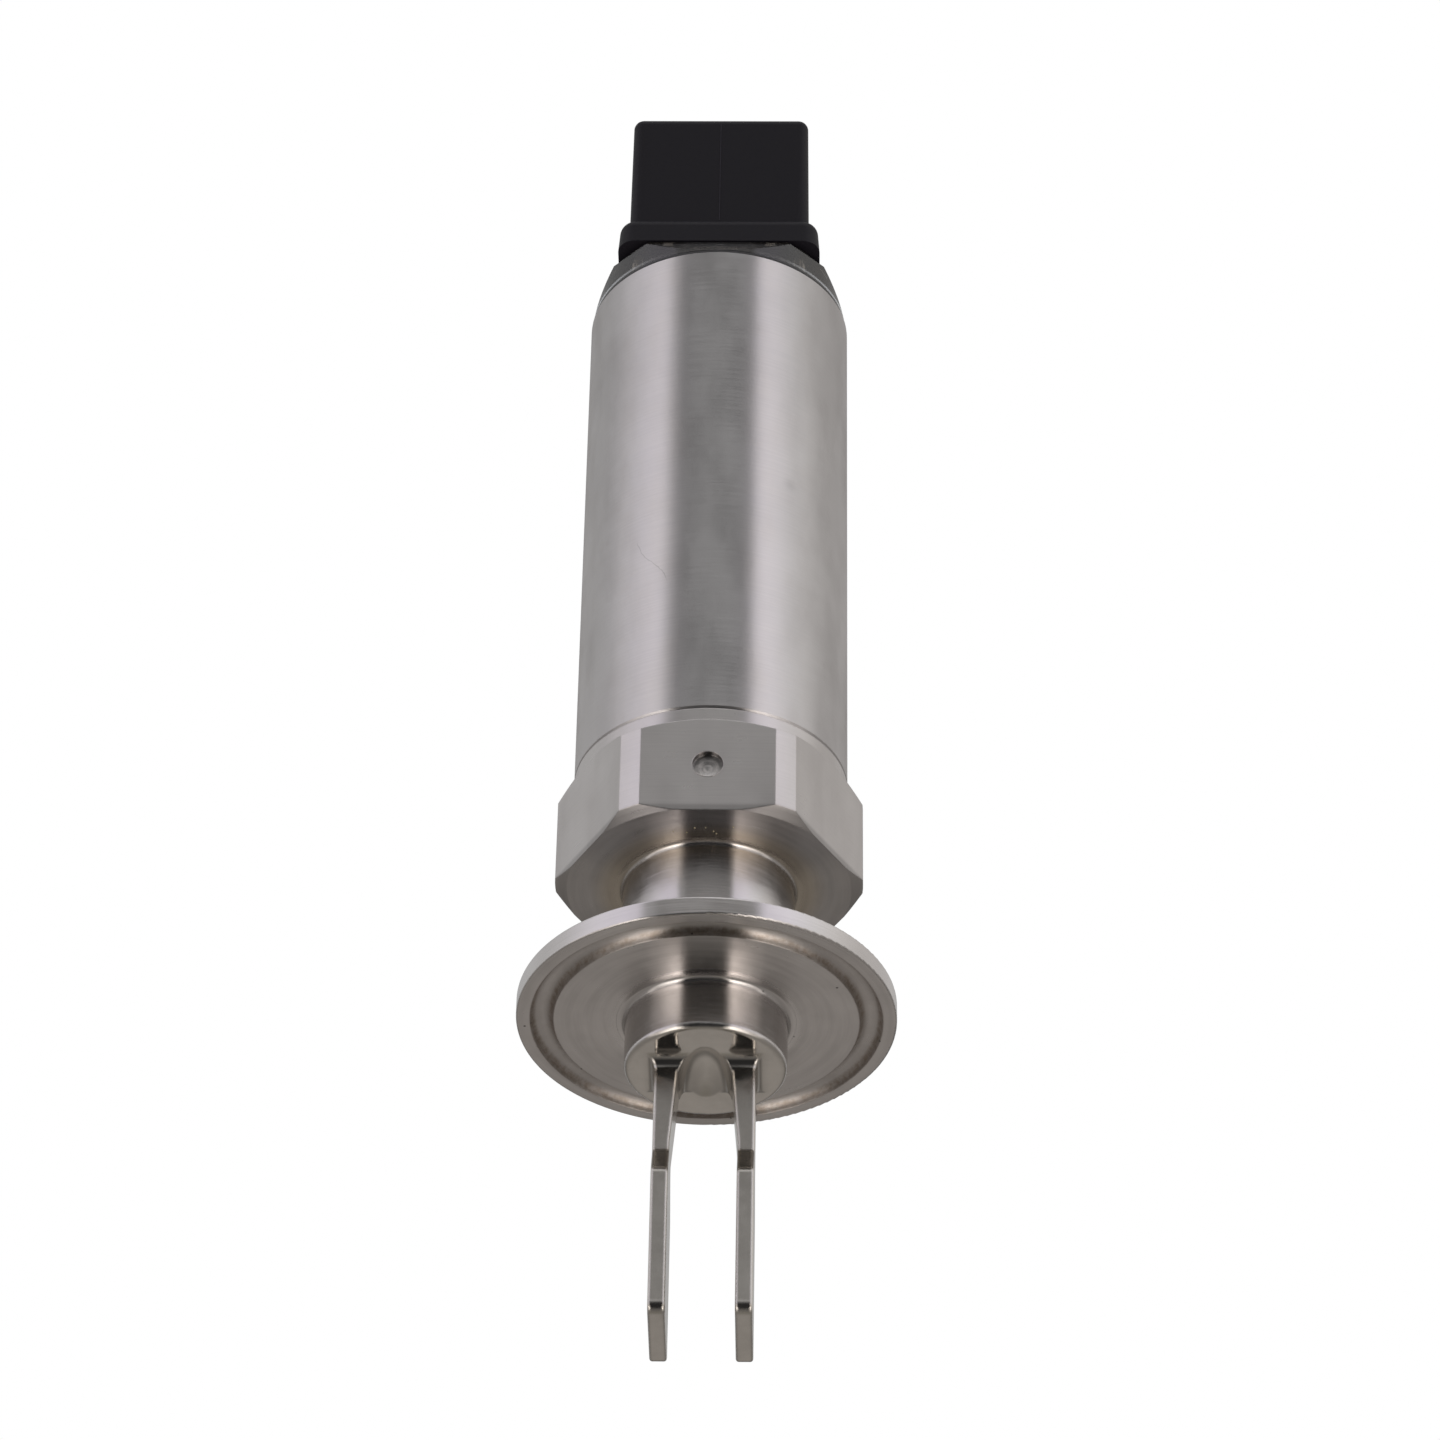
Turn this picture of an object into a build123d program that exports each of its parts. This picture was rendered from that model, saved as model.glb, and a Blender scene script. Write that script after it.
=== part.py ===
from build123d import *
import math
import os

# Compact level switch with a tuning fork, a clamp ferrule and a cable plug, in millimetres.
# The origin is the centre of the ferrule's sealing face. +Z runs up the axis to the plug and
# the fork hangs below the face. The flat of the hexagon with the alignment mark looks to -Y
# and the cable entry of the plug to +Y.

# Clamp ferrule
ferrule_d = 50.5
ferrule_rim = 2.7
ferrule_slope = 20.0
slope_reach = 6.25
rim_edge = 0.3
groove_inset = 3.4
groove_w = 3.1
groove_depth = 1.4

# Neck and hexagon
neck_d = 23.2
neck_foot_r = 2.5
neck_head_r = 0.8
hex_flat_step = 0.05
hex_corner_step = 2.1
hex_chamfer_w = 1.6
hex_under_z = 21.3
hex_chamfer_h = 0.9
hex_strip_h = 12.5
hex_cone_angle = 53.0
mark_d = 4.2
mark_depth = 0.8
mark_height = 7.5
mark_floor_h = 0.3
mark_tip_angle = 155.0

# Tube housing and its seats
housing_d = 37.4
housing_wall = 1.2
housing_length = 82.1
housing_seat_z = 38.4
seam_chamfer = 0.25
tube_end_chamfer = 0.12
spigot_length = 7.0
spigot_lead = 0.5
body_spigot_wall = 2.95
body_bore_floor = 25.0
seal_section = 1.5
seal_room = 2.2
seal_inset = 2.6

# Fork head: boss, membrane and sleeve
boss_d = 21.56
boss_drop = 7.77
boss_edge = 0.8
boss_root_r = 0.85
disc_rim = 0.3
disc_t = 2.0
sleeve_d = 19.1
sleeve_top = 20.0
drive_bore_d = 16.4
membrane_t = 2.3

# Tines
tine_tip = 48.0
tine_spread = 13.3
tine_t = 2.25
tine_neck_w = 7.0
tine_paddle_w = 14.0
tine_neck_end = 22.1
tine_paddle_start = 27.0
tine_taper_end = 20.6
tine_edge = 0.4
tine_corner_r = 1.5
tine_shoulder_r = 2.0
tine_waist_r = 1.0
foot_r = 1.65
tine_taper = 0.9
valley_dip = 1.2
valley_length = 12.0
root_sink = 0.8
valley_arc = 35.0

# Piezo drive inside the boss
thrust_room = 0.8
thrust_plate_t = 2.5
thrust_foot_inset = 1.0
thrust_foot_w = 1.8
thrust_foot_h = 1.0
stem_d = 3.8
stem_room = 0.2
stack_room = 1.9
disc_count = 3
piezo_t = 1.2
foil_t = 0.2
washer_t = 0.6
tab_w = 2.4
tab_room = 0.4
pressure_screw_h = 5.0
pressure_notch_w = 2.0
pressure_chamfer = 0.4
lead_d = 1.1
lead_room = 1.1

# Electronics
carrier_ring_t = 2.5
carrier_room = 0.3
carrier_end_gap = 1.0
carrier_hole_d = 24.0
rail_w = 4.8
rail_t = 3.2
rail_grip = 1.3
board_w = 25.0
board_t = 1.6
header_w = 18.0
header_depth = 5.2
header_grip = 4.0
header_drop = 4.0
chip_side = 7.0
chip_t = 1.4
chip_pitch = 15.0
chip_count = 3
capacitor_d = 6.3
capacitor_h = 7.5
capacitor_pitch = 9.0
capacitor_count = 3
coil_d = 9.0
coil_hole_d = 3.6
coil_h = 5.0
link_w = 14.0
link_t = 2.4
link_grip = 3.0
lamp_board_room = 0.3
lamp_d = 3.0
lamp_h = 3.2
lamp_dome_r = 1.2
lamp_room = 0.4
lamp_count = 3
lamp_step_angle = 90.0
lamp_start_angle = -135.0

# Clear cover
gasket_t = 0.4
cover_inset = 0.2
cover_height = 5.2
cover_square = 29.0
cover_corner_cut = 4.4
cover_slope = 38.0
cover_plate_t = 2.4
cover_spigot_length = 7.5
cover_spigot_wall = 2.25
cover_step = 1.9
cover_bore_d = 24.8

# Connector base
base_side = 25.2
base_corner_r = 3.8
base_plate_t = 2.2
base_block_room = 0.35
base_block_h = 2.7
base_spigot_wall = 1.3
base_screw_inset = 2.7
base_screw_d = 2.4
base_screw_head_d = 3.8
base_screw_length = 6.0
base_slot_w = 0.4
blade_count = 4
blade_inset = 1.75
blade_w = 6.3
blade_t = 0.8
blade_top = 9.2
blade_tail = 2.2
contact_lead_d = 1.0
insert_nut_d = 5.2

# Plug
plug_gasket_w = 1.0
plug_gasket_t = 1.1
plug_gasket_show = 0.25
skirt_wall = 0.9
skirt_h = 4.9
skirt_taper = 4.0
skirt_corner_r = 2.6
skirt_top_r = 1.8
plug_side = 26.2
plug_h = 21.4
plug_draft = 0.45
plug_corner_r = 1.6
plug_top_r = 1.5
plug_wall = 2.0
inner_corner_r = 1.0
plug_roof_t = 2.4
pillar_d = 8.8
insert_h = 8.6
insert_room = 0.2
contact_w = 7.0
contact_t = 2.6
terminal_head_d = 3.6
terminal_head_h = 1.5
terminal_shank_d = 1.8
plug_screw_d = 3.0
plug_screw_head_d = 5.8
plug_screw_head_h = 2.2
plug_screw_chamfer = 0.3
screw_slot_w = 0.8
screw_slot_depth = 0.9
screw_recess_d = 7.2
screw_recess_depth = 2.8
screw_seal_t = 0.6

# Cable gland
gland_axis_drop = 9.1
hood_w = 20.0
hood_depth = 4.0
hood_corner_r = 4.0
hood_draft = 2.0
gland_neck_d = 17.2
gland_neck_length = 11.4
cable_bore_d = 9.2
grommet_d = 14.2
grommet_length = 8.6
grommet_hole_d = 8.4
gland_washer_t = 1.0
nut_wall = 0.9
nut_end_t = 2.6
nut_gap = 1.4
nut_hole_d = 10.4
nut_chamfer = 1.0

# Clearances
slip = 0.05
loose = 0.1
weld_gap = 0.02

# Places worked out from the sizes
ferrule_r = ferrule_d / 2
groove_r = ferrule_r - groove_inset
neck_r = neck_d / 2
housing_r = housing_d / 2
housing_bore_r = housing_r - housing_wall
housing_top = housing_seat_z + housing_length
slope_top = ferrule_rim + slope_reach * math.tan(math.radians(ferrule_slope))
hex_flats = housing_d + 2 * hex_flat_step
hex_corner_r = housing_r + hex_corner_step
hex_strip_low = hex_under_z + hex_chamfer_h
hex_strip_top = hex_strip_low + hex_strip_h
hex_cone_h = hex_corner_step / math.tan(math.radians(hex_cone_angle))
collar_low = hex_strip_top + hex_cone_h
spigot_r = housing_bore_r - slip
spigot_top = housing_seat_z + spigot_length
body_bore_r = spigot_r - body_spigot_wall
boss_r = boss_d / 2
boss_face = -boss_drop
disc_r = boss_r + boss_root_r + disc_rim
drive_bore_r = drive_bore_d / 2
membrane_top = boss_face + membrane_t
tine_outer = tine_spread / 2
tine_inner = tine_outer - tine_t
foot_y = tine_neck_w / 2
foot_reach = math.sqrt(2 * (boss_r - boss_edge) ** 2 - (tine_outer - foot_y) ** 2)
foot = min(foot_r, (foot_reach - tine_outer - foot_y) / 2)
valley_r = tine_inner - tine_taper
valley_z = boss_face + valley_dip - valley_r
valley_cutter_r = ((valley_length / 2) ** 2 + valley_dip**2) / (2 * valley_dip)
cutter_z = boss_face + valley_dip - valley_cutter_r
thrust_r = drive_bore_r - thrust_room
thrust_foot_r = thrust_r - thrust_foot_inset
stack_r = drive_bore_r - stack_room
stack_hole_r = stem_d / 2 + stem_room
stack_low = membrane_top + thrust_foot_h + thrust_plate_t
stack_h = 2 * washer_t + (disc_count + 1) * foil_t + disc_count * piezo_t
stack_top = stack_low + stack_h
carrier_low = spigot_top
board_low = carrier_low + carrier_ring_t
cover_low = housing_top + gasket_t
cover_top = cover_low + cover_height
cover_r = housing_r - cover_inset
cover_step_z = cover_low - cover_step
cover_spigot_low = cover_low - cover_spigot_length
cover_spigot_bore_r = spigot_r - cover_spigot_wall
carrier_top = cover_spigot_low - carrier_end_gap
board_top = carrier_top - carrier_ring_t
board_length = board_top - board_low
cover_roof = cover_top - cover_plate_t
lamp_board_low = cover_step_z - board_t
lamp_circle_r = cover_bore_d / 2 - lamp_room - lamp_d / 2
base_top = cover_top + base_plate_t
base_block_top = base_top + base_block_h
base_screw_spacing = base_side - 2 * base_screw_inset
plug_gasket_side = base_side + 2 * (loose + plug_gasket_w)
recess_side = plug_gasket_side + 2 * slip
skirt_side = recess_side + 2 * skirt_wall
skirt_low = cover_top + plug_gasket_show
skirt_top = skirt_low + skirt_h
plug_top = skirt_top + plug_h
plug_roof = plug_top - plug_roof_t
insert_low = base_block_top + loose
insert_top = insert_low + insert_h
cavity_side = plug_side - 2 * plug_wall
base_block_side = cavity_side - 2 * base_block_room
insert_side = cavity_side - 2 * insert_room
blade_r = insert_side / 2 - blade_inset
base_spigot_r = blade_r + base_spigot_wall
screw_seat = plug_top - screw_recess_depth
gland_z = plug_top - gland_axis_drop
gland_start = plug_side / 2
neck_end_y = gland_start + gland_neck_length
washer_end_y = neck_end_y + gland_washer_t
nut_start = gland_start + hood_depth + nut_gap
nut_end_y = washer_end_y + nut_end_t
nut_flats = gland_neck_d + 2 * nut_wall

os.makedirs("parts", exist_ok=True)


def corner(sketch, x, y):
    """The sketch vertex that lies at this local place."""
    return sketch.vertices().sort_by(lambda v: math.hypot(v.X - x, v.Y - y))[0]


# Process body: ferrule, neck, hexagon and the spigot that carries the tube, turned from one bar
with BuildPart() as process_body:
    with BuildSketch(Plane.XZ) as hex_section:
        Polygon(
            (0, hex_under_z),
            (hex_corner_r - hex_chamfer_w, hex_under_z),
            (hex_corner_r, hex_strip_low),
            (hex_corner_r, hex_strip_top),
            (housing_r, collar_low),
            (housing_r, housing_seat_z - seam_chamfer),
            (housing_r - seam_chamfer, housing_seat_z),
            (0, housing_seat_z),
            align=None,
        )
    revolve(axis=Axis.Z)
    with BuildSketch(Plane.XY.offset(hex_under_z)):
        RegularPolygon(hex_flats / 2, 6, major_radius=False)
    extrude(amount=housing_seat_z - hex_under_z, mode=Mode.INTERSECT)

    with BuildSketch(Plane.XZ) as ferrule_section:
        with BuildLine():
            groove_in = groove_r - groove_w / 2
            groove_out = groove_r + groove_w / 2
            Polyline((0, slope_top), (0, 0), (groove_in, 0))
            ThreePointArc((groove_in, 0), (groove_r, groove_depth), (groove_out, 0))
            Polyline(
                (groove_out, 0),
                (ferrule_r, 0),
                (ferrule_r, ferrule_rim),
                (ferrule_r - slope_reach, slope_top),
                (neck_r, slope_top),
                (neck_r, hex_under_z),
                (neck_r + 2 * neck_head_r, hex_under_z),
                (neck_r + 2 * neck_head_r, hex_strip_low),
                (0, hex_strip_low),
                (0, slope_top),
            )
        make_face()
        fillet(corner(ferrule_section, ferrule_r, 0), rim_edge)
        fillet(corner(ferrule_section, ferrule_r, ferrule_rim), rim_edge)
        fillet(corner(ferrule_section, neck_r, slope_top), neck_foot_r)
        fillet(corner(ferrule_section, neck_r, hex_under_z), neck_head_r)
    revolve(axis=Axis.Z)

    with BuildSketch(Plane.XZ):
        Polygon(
            (0, housing_seat_z),
            (spigot_r, housing_seat_z),
            (spigot_r, spigot_top - spigot_lead),
            (spigot_r - spigot_lead, spigot_top),
            (0, spigot_top),
            align=None,
        )
    revolve(axis=Axis.Z)
    with BuildSketch(Plane.XZ):
        with Locations((spigot_r, housing_seat_z + seal_inset)):
            Rectangle(2 * seal_section, seal_room, align=(Align.CENTER, Align.MIN))
    revolve(axis=Axis.Z, mode=Mode.SUBTRACT)

    with BuildSketch(Plane.XZ):
        Polygon(
            (0, 0),
            (disc_r + weld_gap, 0),
            (disc_r + weld_gap, disc_t),
            (sleeve_d / 2 + slip, disc_t),
            (sleeve_d / 2 + slip, body_bore_floor),
            (body_bore_r, body_bore_floor),
            (body_bore_r, spigot_top),
            (0, spigot_top),
            align=None,
        )
    revolve(axis=Axis.Z, mode=Mode.SUBTRACT)

    # Alignment mark: a shallow drilled dimple with the drill's own cone for a floor
    mark_centre = (0, -hex_flats / 2, hex_under_z + mark_height)
    mark_plane = Plane(origin=mark_centre, x_dir=(1, 0, 0), z_dir=(0, -1, 0))
    with BuildSketch(mark_plane):
        Circle(mark_d / 2)
    extrude(amount=-mark_depth, mode=Mode.SUBTRACT)
    with BuildSketch(mark_plane.offset(-mark_depth)):
        Circle(mark_d / 2)
    extrude(amount=-mark_floor_h, taper=mark_tip_angle / 2, mode=Mode.SUBTRACT)
process_body.part.label = "process_body"
export_step(process_body.part, "parts/process_body.step")


# Fork head: tines, foot, boss, membrane and sleeve as one solid
root_top = boss_face + root_sink
tangent_x = tine_inner
tangent_z = -tine_taper_end - valley_z
tangent_turn = math.atan2(tangent_z, tangent_x) + math.acos(valley_r / math.hypot(tangent_x, tangent_z))
valley_end_x = valley_r * math.cos(tangent_turn)
valley_end_z = valley_z + valley_r * math.sin(tangent_turn)


def is_inner_edge(edge):
    """True for the edges around the inner side of a tine."""
    start, middle, end = edge @ 0, edge @ 0.5, edge @ 1
    on_side = valley_end_x - slip < abs(middle.X) < tine_inner + slip
    runs_along = abs(start.Y - end.Y) + abs(start.Z - end.Z) > slip
    at_rim = abs(start.Y + end.Y) > slip or middle.Z < -tine_tip + slip
    return on_side and runs_along and at_rim and middle.Z < valley_end_z - slip


def foot_arc(side):
    """The hollow foot that runs from this side of a tine out into the face of the boss."""
    bend = foot * (1 - math.sqrt(0.5))
    ThreePointArc((side + foot, boss_face), (side + bend, boss_face - bend), (side, boss_face - foot))


with BuildPart() as fork_head:
    with BuildSketch(Plane.XZ):
        with BuildLine():
            Polyline((0, root_top), (tine_outer + foot, root_top), (tine_outer + foot, boss_face))
            foot_arc(tine_outer)
            Polyline(
                (tine_outer, boss_face - foot),
                (tine_outer, -tine_tip),
                (tine_inner, -tine_tip),
                (tine_inner, -tine_taper_end),
                (valley_end_x, valley_end_z),
                (0, valley_end_z),
                (0, root_top),
            )
        make_face()
        mirror(about=Plane.YZ)
    extrude(amount=tine_paddle_w / 2, both=True)
    with BuildSketch(Plane.YZ) as tine_side:
        with BuildLine():
            Polyline((0, root_top), (foot_y + foot, root_top), (foot_y + foot, boss_face))
            foot_arc(foot_y)
            Polyline(
                (foot_y, boss_face - foot),
                (foot_y, -tine_neck_end),
                (tine_paddle_w / 2, -tine_paddle_start),
                (tine_paddle_w / 2, -tine_tip),
                (0, -tine_tip),
                (0, root_top),
            )
        make_face()
        fillet(corner(tine_side, foot_y, -tine_neck_end), tine_waist_r)
        fillet(corner(tine_side, tine_paddle_w / 2, -tine_paddle_start), tine_shoulder_r)
        fillet(corner(tine_side, tine_paddle_w / 2, -tine_tip), tine_corner_r)
        mirror(about=Plane.YZ)
    extrude(amount=tine_outer + tine_t, both=True, mode=Mode.INTERSECT)
    outer_sides = fork_head.faces().filter_by(lambda f: abs(abs(f.center().X) - tine_outer) < slip)
    fillet(outer_sides.edges().filter_by(lambda e: (e @ 0.5).Z < boss_face - foot - slip), tine_edge)
    fillet(fork_head.edges().filter_by(is_inner_edge), tine_edge)

    with BuildSketch(Plane.XZ) as boss_section:
        with BuildLine():
            Polyline((0, membrane_top), (0, boss_face), (boss_r, boss_face), (boss_r, -boss_root_r))
            RadiusArc((boss_r, -boss_root_r), (boss_r + boss_root_r, 0), boss_root_r)
            Polyline(
                (boss_r + boss_root_r, 0),
                (disc_r, 0),
                (disc_r, disc_t),
                (sleeve_d / 2, disc_t),
                (sleeve_d / 2, sleeve_top),
                (drive_bore_r, sleeve_top),
                (drive_bore_r, membrane_top),
                (0, membrane_top),
            )
        make_face()
        fillet(corner(boss_section, boss_r, boss_face), boss_edge)
    revolve(axis=Axis.Z)

    # The valley between the tines is milled with a round disc cutter and runs out at both ends
    for side in (1, -1):
        with BuildSketch(Plane.XZ):
            with Locations((0, valley_z)):
                Circle(valley_r)
        revolve(axis=Axis((0, 0, cutter_z), (side, 0, 0)), revolution_arc=valley_arc, mode=Mode.SUBTRACT)
fork_head.part.label = "fork_head"
export_step(fork_head.part, "parts/fork_head.step")


# Thrust piece: carries the piezo stack and bears on the membrane with a ring foot
with BuildPart() as thrust_piece:
    with BuildSketch(Plane.XY.offset(membrane_top)):
        Circle(thrust_foot_r)
        Circle(thrust_foot_r - thrust_foot_w, mode=Mode.SUBTRACT)
    extrude(amount=thrust_foot_h)
    with BuildSketch(Plane.XY.offset(membrane_top + thrust_foot_h)):
        Circle(thrust_r)
    extrude(amount=thrust_plate_t)
    with BuildSketch(Plane.XY.offset(stack_low)):
        Circle(stem_d / 2)
    extrude(amount=stack_h + pressure_screw_h / 2)
thrust_piece.part.label = "thrust_piece"
export_step(thrust_piece.part, "parts/thrust_piece.step")


# Piezo stack: insulating washers at the ends, discs and electrode foils in turn between them
with BuildPart() as insulating_washers:
    for washer_z in (stack_low, stack_top - washer_t):
        with BuildSketch(Plane.XY.offset(washer_z)):
            Circle(stack_r)
            Circle(stack_hole_r, mode=Mode.SUBTRACT)
        extrude(amount=washer_t)
insulating_washers.part.label = "insulating_washers"
export_step(insulating_washers.part, "parts/insulating_washers.step")

foil_pitch = foil_t + piezo_t
foil_start = stack_low + washer_t
tab_reach = drive_bore_r - tab_room
with BuildPart() as piezo_discs:
    for index in range(disc_count):
        with BuildSketch(Plane.XY.offset(foil_start + foil_t + index * foil_pitch)):
            Circle(stack_r)
            Circle(stack_hole_r, mode=Mode.SUBTRACT)
        extrude(amount=piezo_t)
piezo_discs.part.label = "piezo_discs"
export_step(piezo_discs.part, "parts/piezo_discs.step")

with BuildPart() as electrode_foils:
    for index in range(disc_count + 1):
        tab_side = 1 if index % 2 == 0 else -1
        with BuildSketch(Plane.XY.offset(foil_start + index * foil_pitch)):
            Circle(stack_r)
            with Locations((tab_side * tab_reach / 2, 0)):
                Rectangle(tab_reach, tab_w)
            Circle(stack_hole_r, mode=Mode.SUBTRACT)
        extrude(amount=foil_t)
electrode_foils.part.label = "electrode_foils"
export_step(electrode_foils.part, "parts/electrode_foils.step")


# Pressure screw: clamps the stack down, with two notches for the leads
with BuildPart() as pressure_screw:
    with BuildSketch(Plane.XY.offset(stack_top)):
        Circle(drive_bore_r - slip)
        Circle(stack_hole_r, mode=Mode.SUBTRACT)
        with Locations((drive_bore_r, 0), (-drive_bore_r, 0)):
            Rectangle(2 * stack_room, pressure_notch_w, mode=Mode.SUBTRACT)
    extrude(amount=pressure_screw_h)
    chamfer(pressure_screw.faces().sort_by(Axis.Z)[-1].outer_wire().edges().filter_by(GeomType.CIRCLE), pressure_chamfer)
pressure_screw.part.label = "pressure_screw"
export_step(pressure_screw.part, "parts/pressure_screw.step")


# Sensor leads: one from the top tab of each polarity up to the header on the board
with BuildPart() as sensor_leads:
    for side in (1, -1):
        top_tab = max(i for i in range(disc_count + 1) if (i % 2 == 0) == (side == 1))
        lead_start = foil_start + top_tab * foil_pitch + foil_t
        with BuildSketch(Plane.XY.offset(lead_start)):
            with Locations((side * (drive_bore_r - lead_room), 0)):
                Circle(lead_d / 2)
        extrude(amount=board_low - header_drop - lead_start)
sensor_leads.part.label = "sensor_leads"
export_step(sensor_leads.part, "parts/sensor_leads.step")


# Round seal between the spigot of the body and the tube
seal_r = spigot_r - seal_section / 2 + slip / 2
with BuildPart() as housing_seal:
    with BuildSketch(Plane.XZ):
        with Locations((seal_r, housing_seat_z + seal_inset + seal_room / 2)):
            Circle((seal_section - slip) / 2)
    revolve(axis=Axis.Z)
housing_seal.part.label = "housing_seal"
export_step(housing_seal.part, "parts/housing_seal.step")


# Tube housing
with BuildPart() as housing_tube:
    with BuildSketch(Plane.XY.offset(housing_seat_z)):
        Circle(housing_r)
        Circle(housing_bore_r, mode=Mode.SUBTRACT)
    extrude(amount=housing_length)
    chamfer(housing_tube.faces().sort_by(Axis.Z)[0].outer_wire().edges(), seam_chamfer)
    chamfer(housing_tube.faces().sort_by(Axis.Z)[-1].outer_wire().edges(), tube_end_chamfer)
housing_tube.part.label = "housing_tube"
export_step(housing_tube.part, "parts/housing_tube.step")


# Board carrier: two rings joined by a pair of slotted rails
with BuildPart() as board_carrier:
    for ring_z in (carrier_low, board_top):
        with BuildSketch(Plane.XY.offset(ring_z)):
            Circle(housing_bore_r - carrier_room)
            Circle(carrier_hole_d / 2, mode=Mode.SUBTRACT)
        extrude(amount=carrier_ring_t)
    with BuildSketch(Plane.XY.offset(carrier_low)):
        rail_centre = board_w / 2 - rail_grip + rail_t / 2
        with Locations((rail_centre, 0), (-rail_centre, 0)):
            Rectangle(rail_t, rail_w)
    extrude(amount=carrier_top - carrier_low)
    with BuildSketch(Plane.XY.offset(board_low)):
        Rectangle(board_w + 2 * loose, board_t + 2 * loose)
    extrude(amount=board_length, mode=Mode.SUBTRACT)
board_carrier.part.label = "board_carrier"
export_step(board_carrier.part, "parts/board_carrier.step")


# Main board with the parts that stand on it
board_face = board_t / 2
board_middle = board_low + board_length / 2
with BuildPart() as main_board:
    with BuildSketch(Plane.XY.offset(board_low)):
        Rectangle(board_w, board_t)
    extrude(amount=board_length)
main_board.part.label = "main_board"
export_step(main_board.part, "parts/main_board.step")

with BuildPart() as chips:
    with BuildSketch(Plane(origin=(0, -board_face, board_middle), x_dir=(1, 0, 0), z_dir=(0, -1, 0))):
        with GridLocations(0, chip_pitch, 1, chip_count):
            Rectangle(chip_side, chip_side)
    extrude(amount=chip_t)
chips.part.label = "chips"
export_step(chips.part, "parts/chips.step")

with BuildPart() as capacitors:
    with BuildSketch(Plane(origin=(0, board_face, board_middle), x_dir=(-1, 0, 0), z_dir=(0, 1, 0))):
        with GridLocations(0, capacitor_pitch, 1, capacitor_count):
            Circle(capacitor_d / 2)
    extrude(amount=capacitor_h)
capacitors.part.label = "capacitors"
export_step(capacitors.part, "parts/capacitors.step")

coil_z = board_middle + capacitor_pitch * (capacitor_count + 1) / 2
with BuildPart() as choke_coil:
    with BuildSketch(Plane(origin=(0, board_face, coil_z), x_dir=(-1, 0, 0), z_dir=(0, 1, 0))):
        Circle(coil_d / 2)
        Circle(coil_hole_d / 2, mode=Mode.SUBTRACT)
    extrude(amount=coil_h)
choke_coil.part.label = "choke_coil"
export_step(choke_coil.part, "parts/choke_coil.step")

with BuildPart() as lead_header:
    with BuildSketch(Plane.XY.offset(board_low - header_drop)):
        Rectangle(header_w, header_depth)
    extrude(amount=header_drop + header_grip)
    with BuildSketch(Plane.XY.offset(board_low)):
        Rectangle(board_w, board_t + loose)
    extrude(amount=header_grip, mode=Mode.SUBTRACT)
lead_header.part.label = "lead_header"
export_step(lead_header.part, "parts/lead_header.step")

with BuildPart() as link_header:
    with BuildSketch(Plane.XY.offset(board_top - link_grip)):
        with Locations((0, board_face + link_t / 2)):
            Rectangle(link_w, link_t)
    extrude(amount=lamp_board_low - board_top + link_grip)
link_header.part.label = "link_header"
export_step(link_header.part, "parts/link_header.step")


# Lamp board under the clear cover, with its status lamps
with BuildPart() as lamp_board:
    with BuildSketch(Plane.XY.offset(lamp_board_low)):
        Circle(cover_spigot_bore_r - lamp_board_room)
    extrude(amount=board_t)
lamp_board.part.label = "lamp_board"
export_step(lamp_board.part, "parts/lamp_board.step")

with BuildPart() as status_lamps:
    with BuildSketch(Plane.XY.offset(cover_step_z)):
        with PolarLocations(lamp_circle_r, lamp_count, lamp_start_angle, lamp_count * lamp_step_angle):
            Circle(lamp_d / 2)
    extrude(amount=lamp_h)
    fillet(status_lamps.faces().group_by(Axis.Z)[-1].edges(), lamp_dome_r)
status_lamps.part.label = "status_lamps"
export_step(status_lamps.part, "parts/status_lamps.step")


# Flat gasket that shows as a dark line between the tube and the cover
with BuildPart() as cover_gasket:
    with BuildSketch(Plane.XY.offset(housing_top)):
        Circle(cover_r + slip)
        Circle(housing_bore_r, mode=Mode.SUBTRACT)
    extrude(amount=gasket_t)
cover_gasket.part.label = "cover_gasket"
export_step(cover_gasket.part, "parts/cover_gasket.step")


# Clear cover: a square top with cut corners that slopes out to the round of the tube
with BuildPart() as clear_cover:
    with BuildSketch(Plane.XY.offset(cover_low)):
        Circle(cover_r)
    extrude(amount=cover_height)
    with BuildSketch(Plane.XY.offset(cover_top)) as cover_outline:
        Rectangle(cover_square, cover_square)
        chamfer(cover_outline.vertices(), cover_corner_cut)
    extrude(amount=-cover_height, taper=-cover_slope, mode=Mode.INTERSECT)
    with BuildSketch(Plane.XY.offset(cover_spigot_low)):
        Circle(spigot_r)
    extrude(amount=cover_spigot_length)
    with BuildSketch(Plane.XZ):
        with Locations((spigot_r, cover_spigot_low + seal_inset)):
            Rectangle(2 * seal_section, seal_room, align=(Align.CENTER, Align.MIN))
    revolve(axis=Axis.Z, mode=Mode.SUBTRACT)
    with BuildSketch(Plane.XZ):
        Polygon(
            (0, cover_spigot_low),
            (cover_spigot_bore_r, cover_spigot_low),
            (cover_spigot_bore_r, cover_step_z),
            (cover_bore_d / 2, cover_step_z),
            (cover_bore_d / 2, cover_roof),
            (base_spigot_r + loose, cover_roof),
            (base_spigot_r + loose, cover_top),
            (0, cover_top),
            align=None,
        )
    revolve(axis=Axis.Z, mode=Mode.SUBTRACT)
    with BuildSketch(Plane.XY.offset(cover_top)):
        with GridLocations(base_screw_spacing, base_screw_spacing, 2, 2):
            Circle(base_screw_d / 2 + slip)
    extrude(amount=-(base_screw_length - base_plate_t), mode=Mode.SUBTRACT)
clear_cover.part.label = "clear_cover"
export_step(clear_cover.part, "parts/clear_cover.step")

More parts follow.
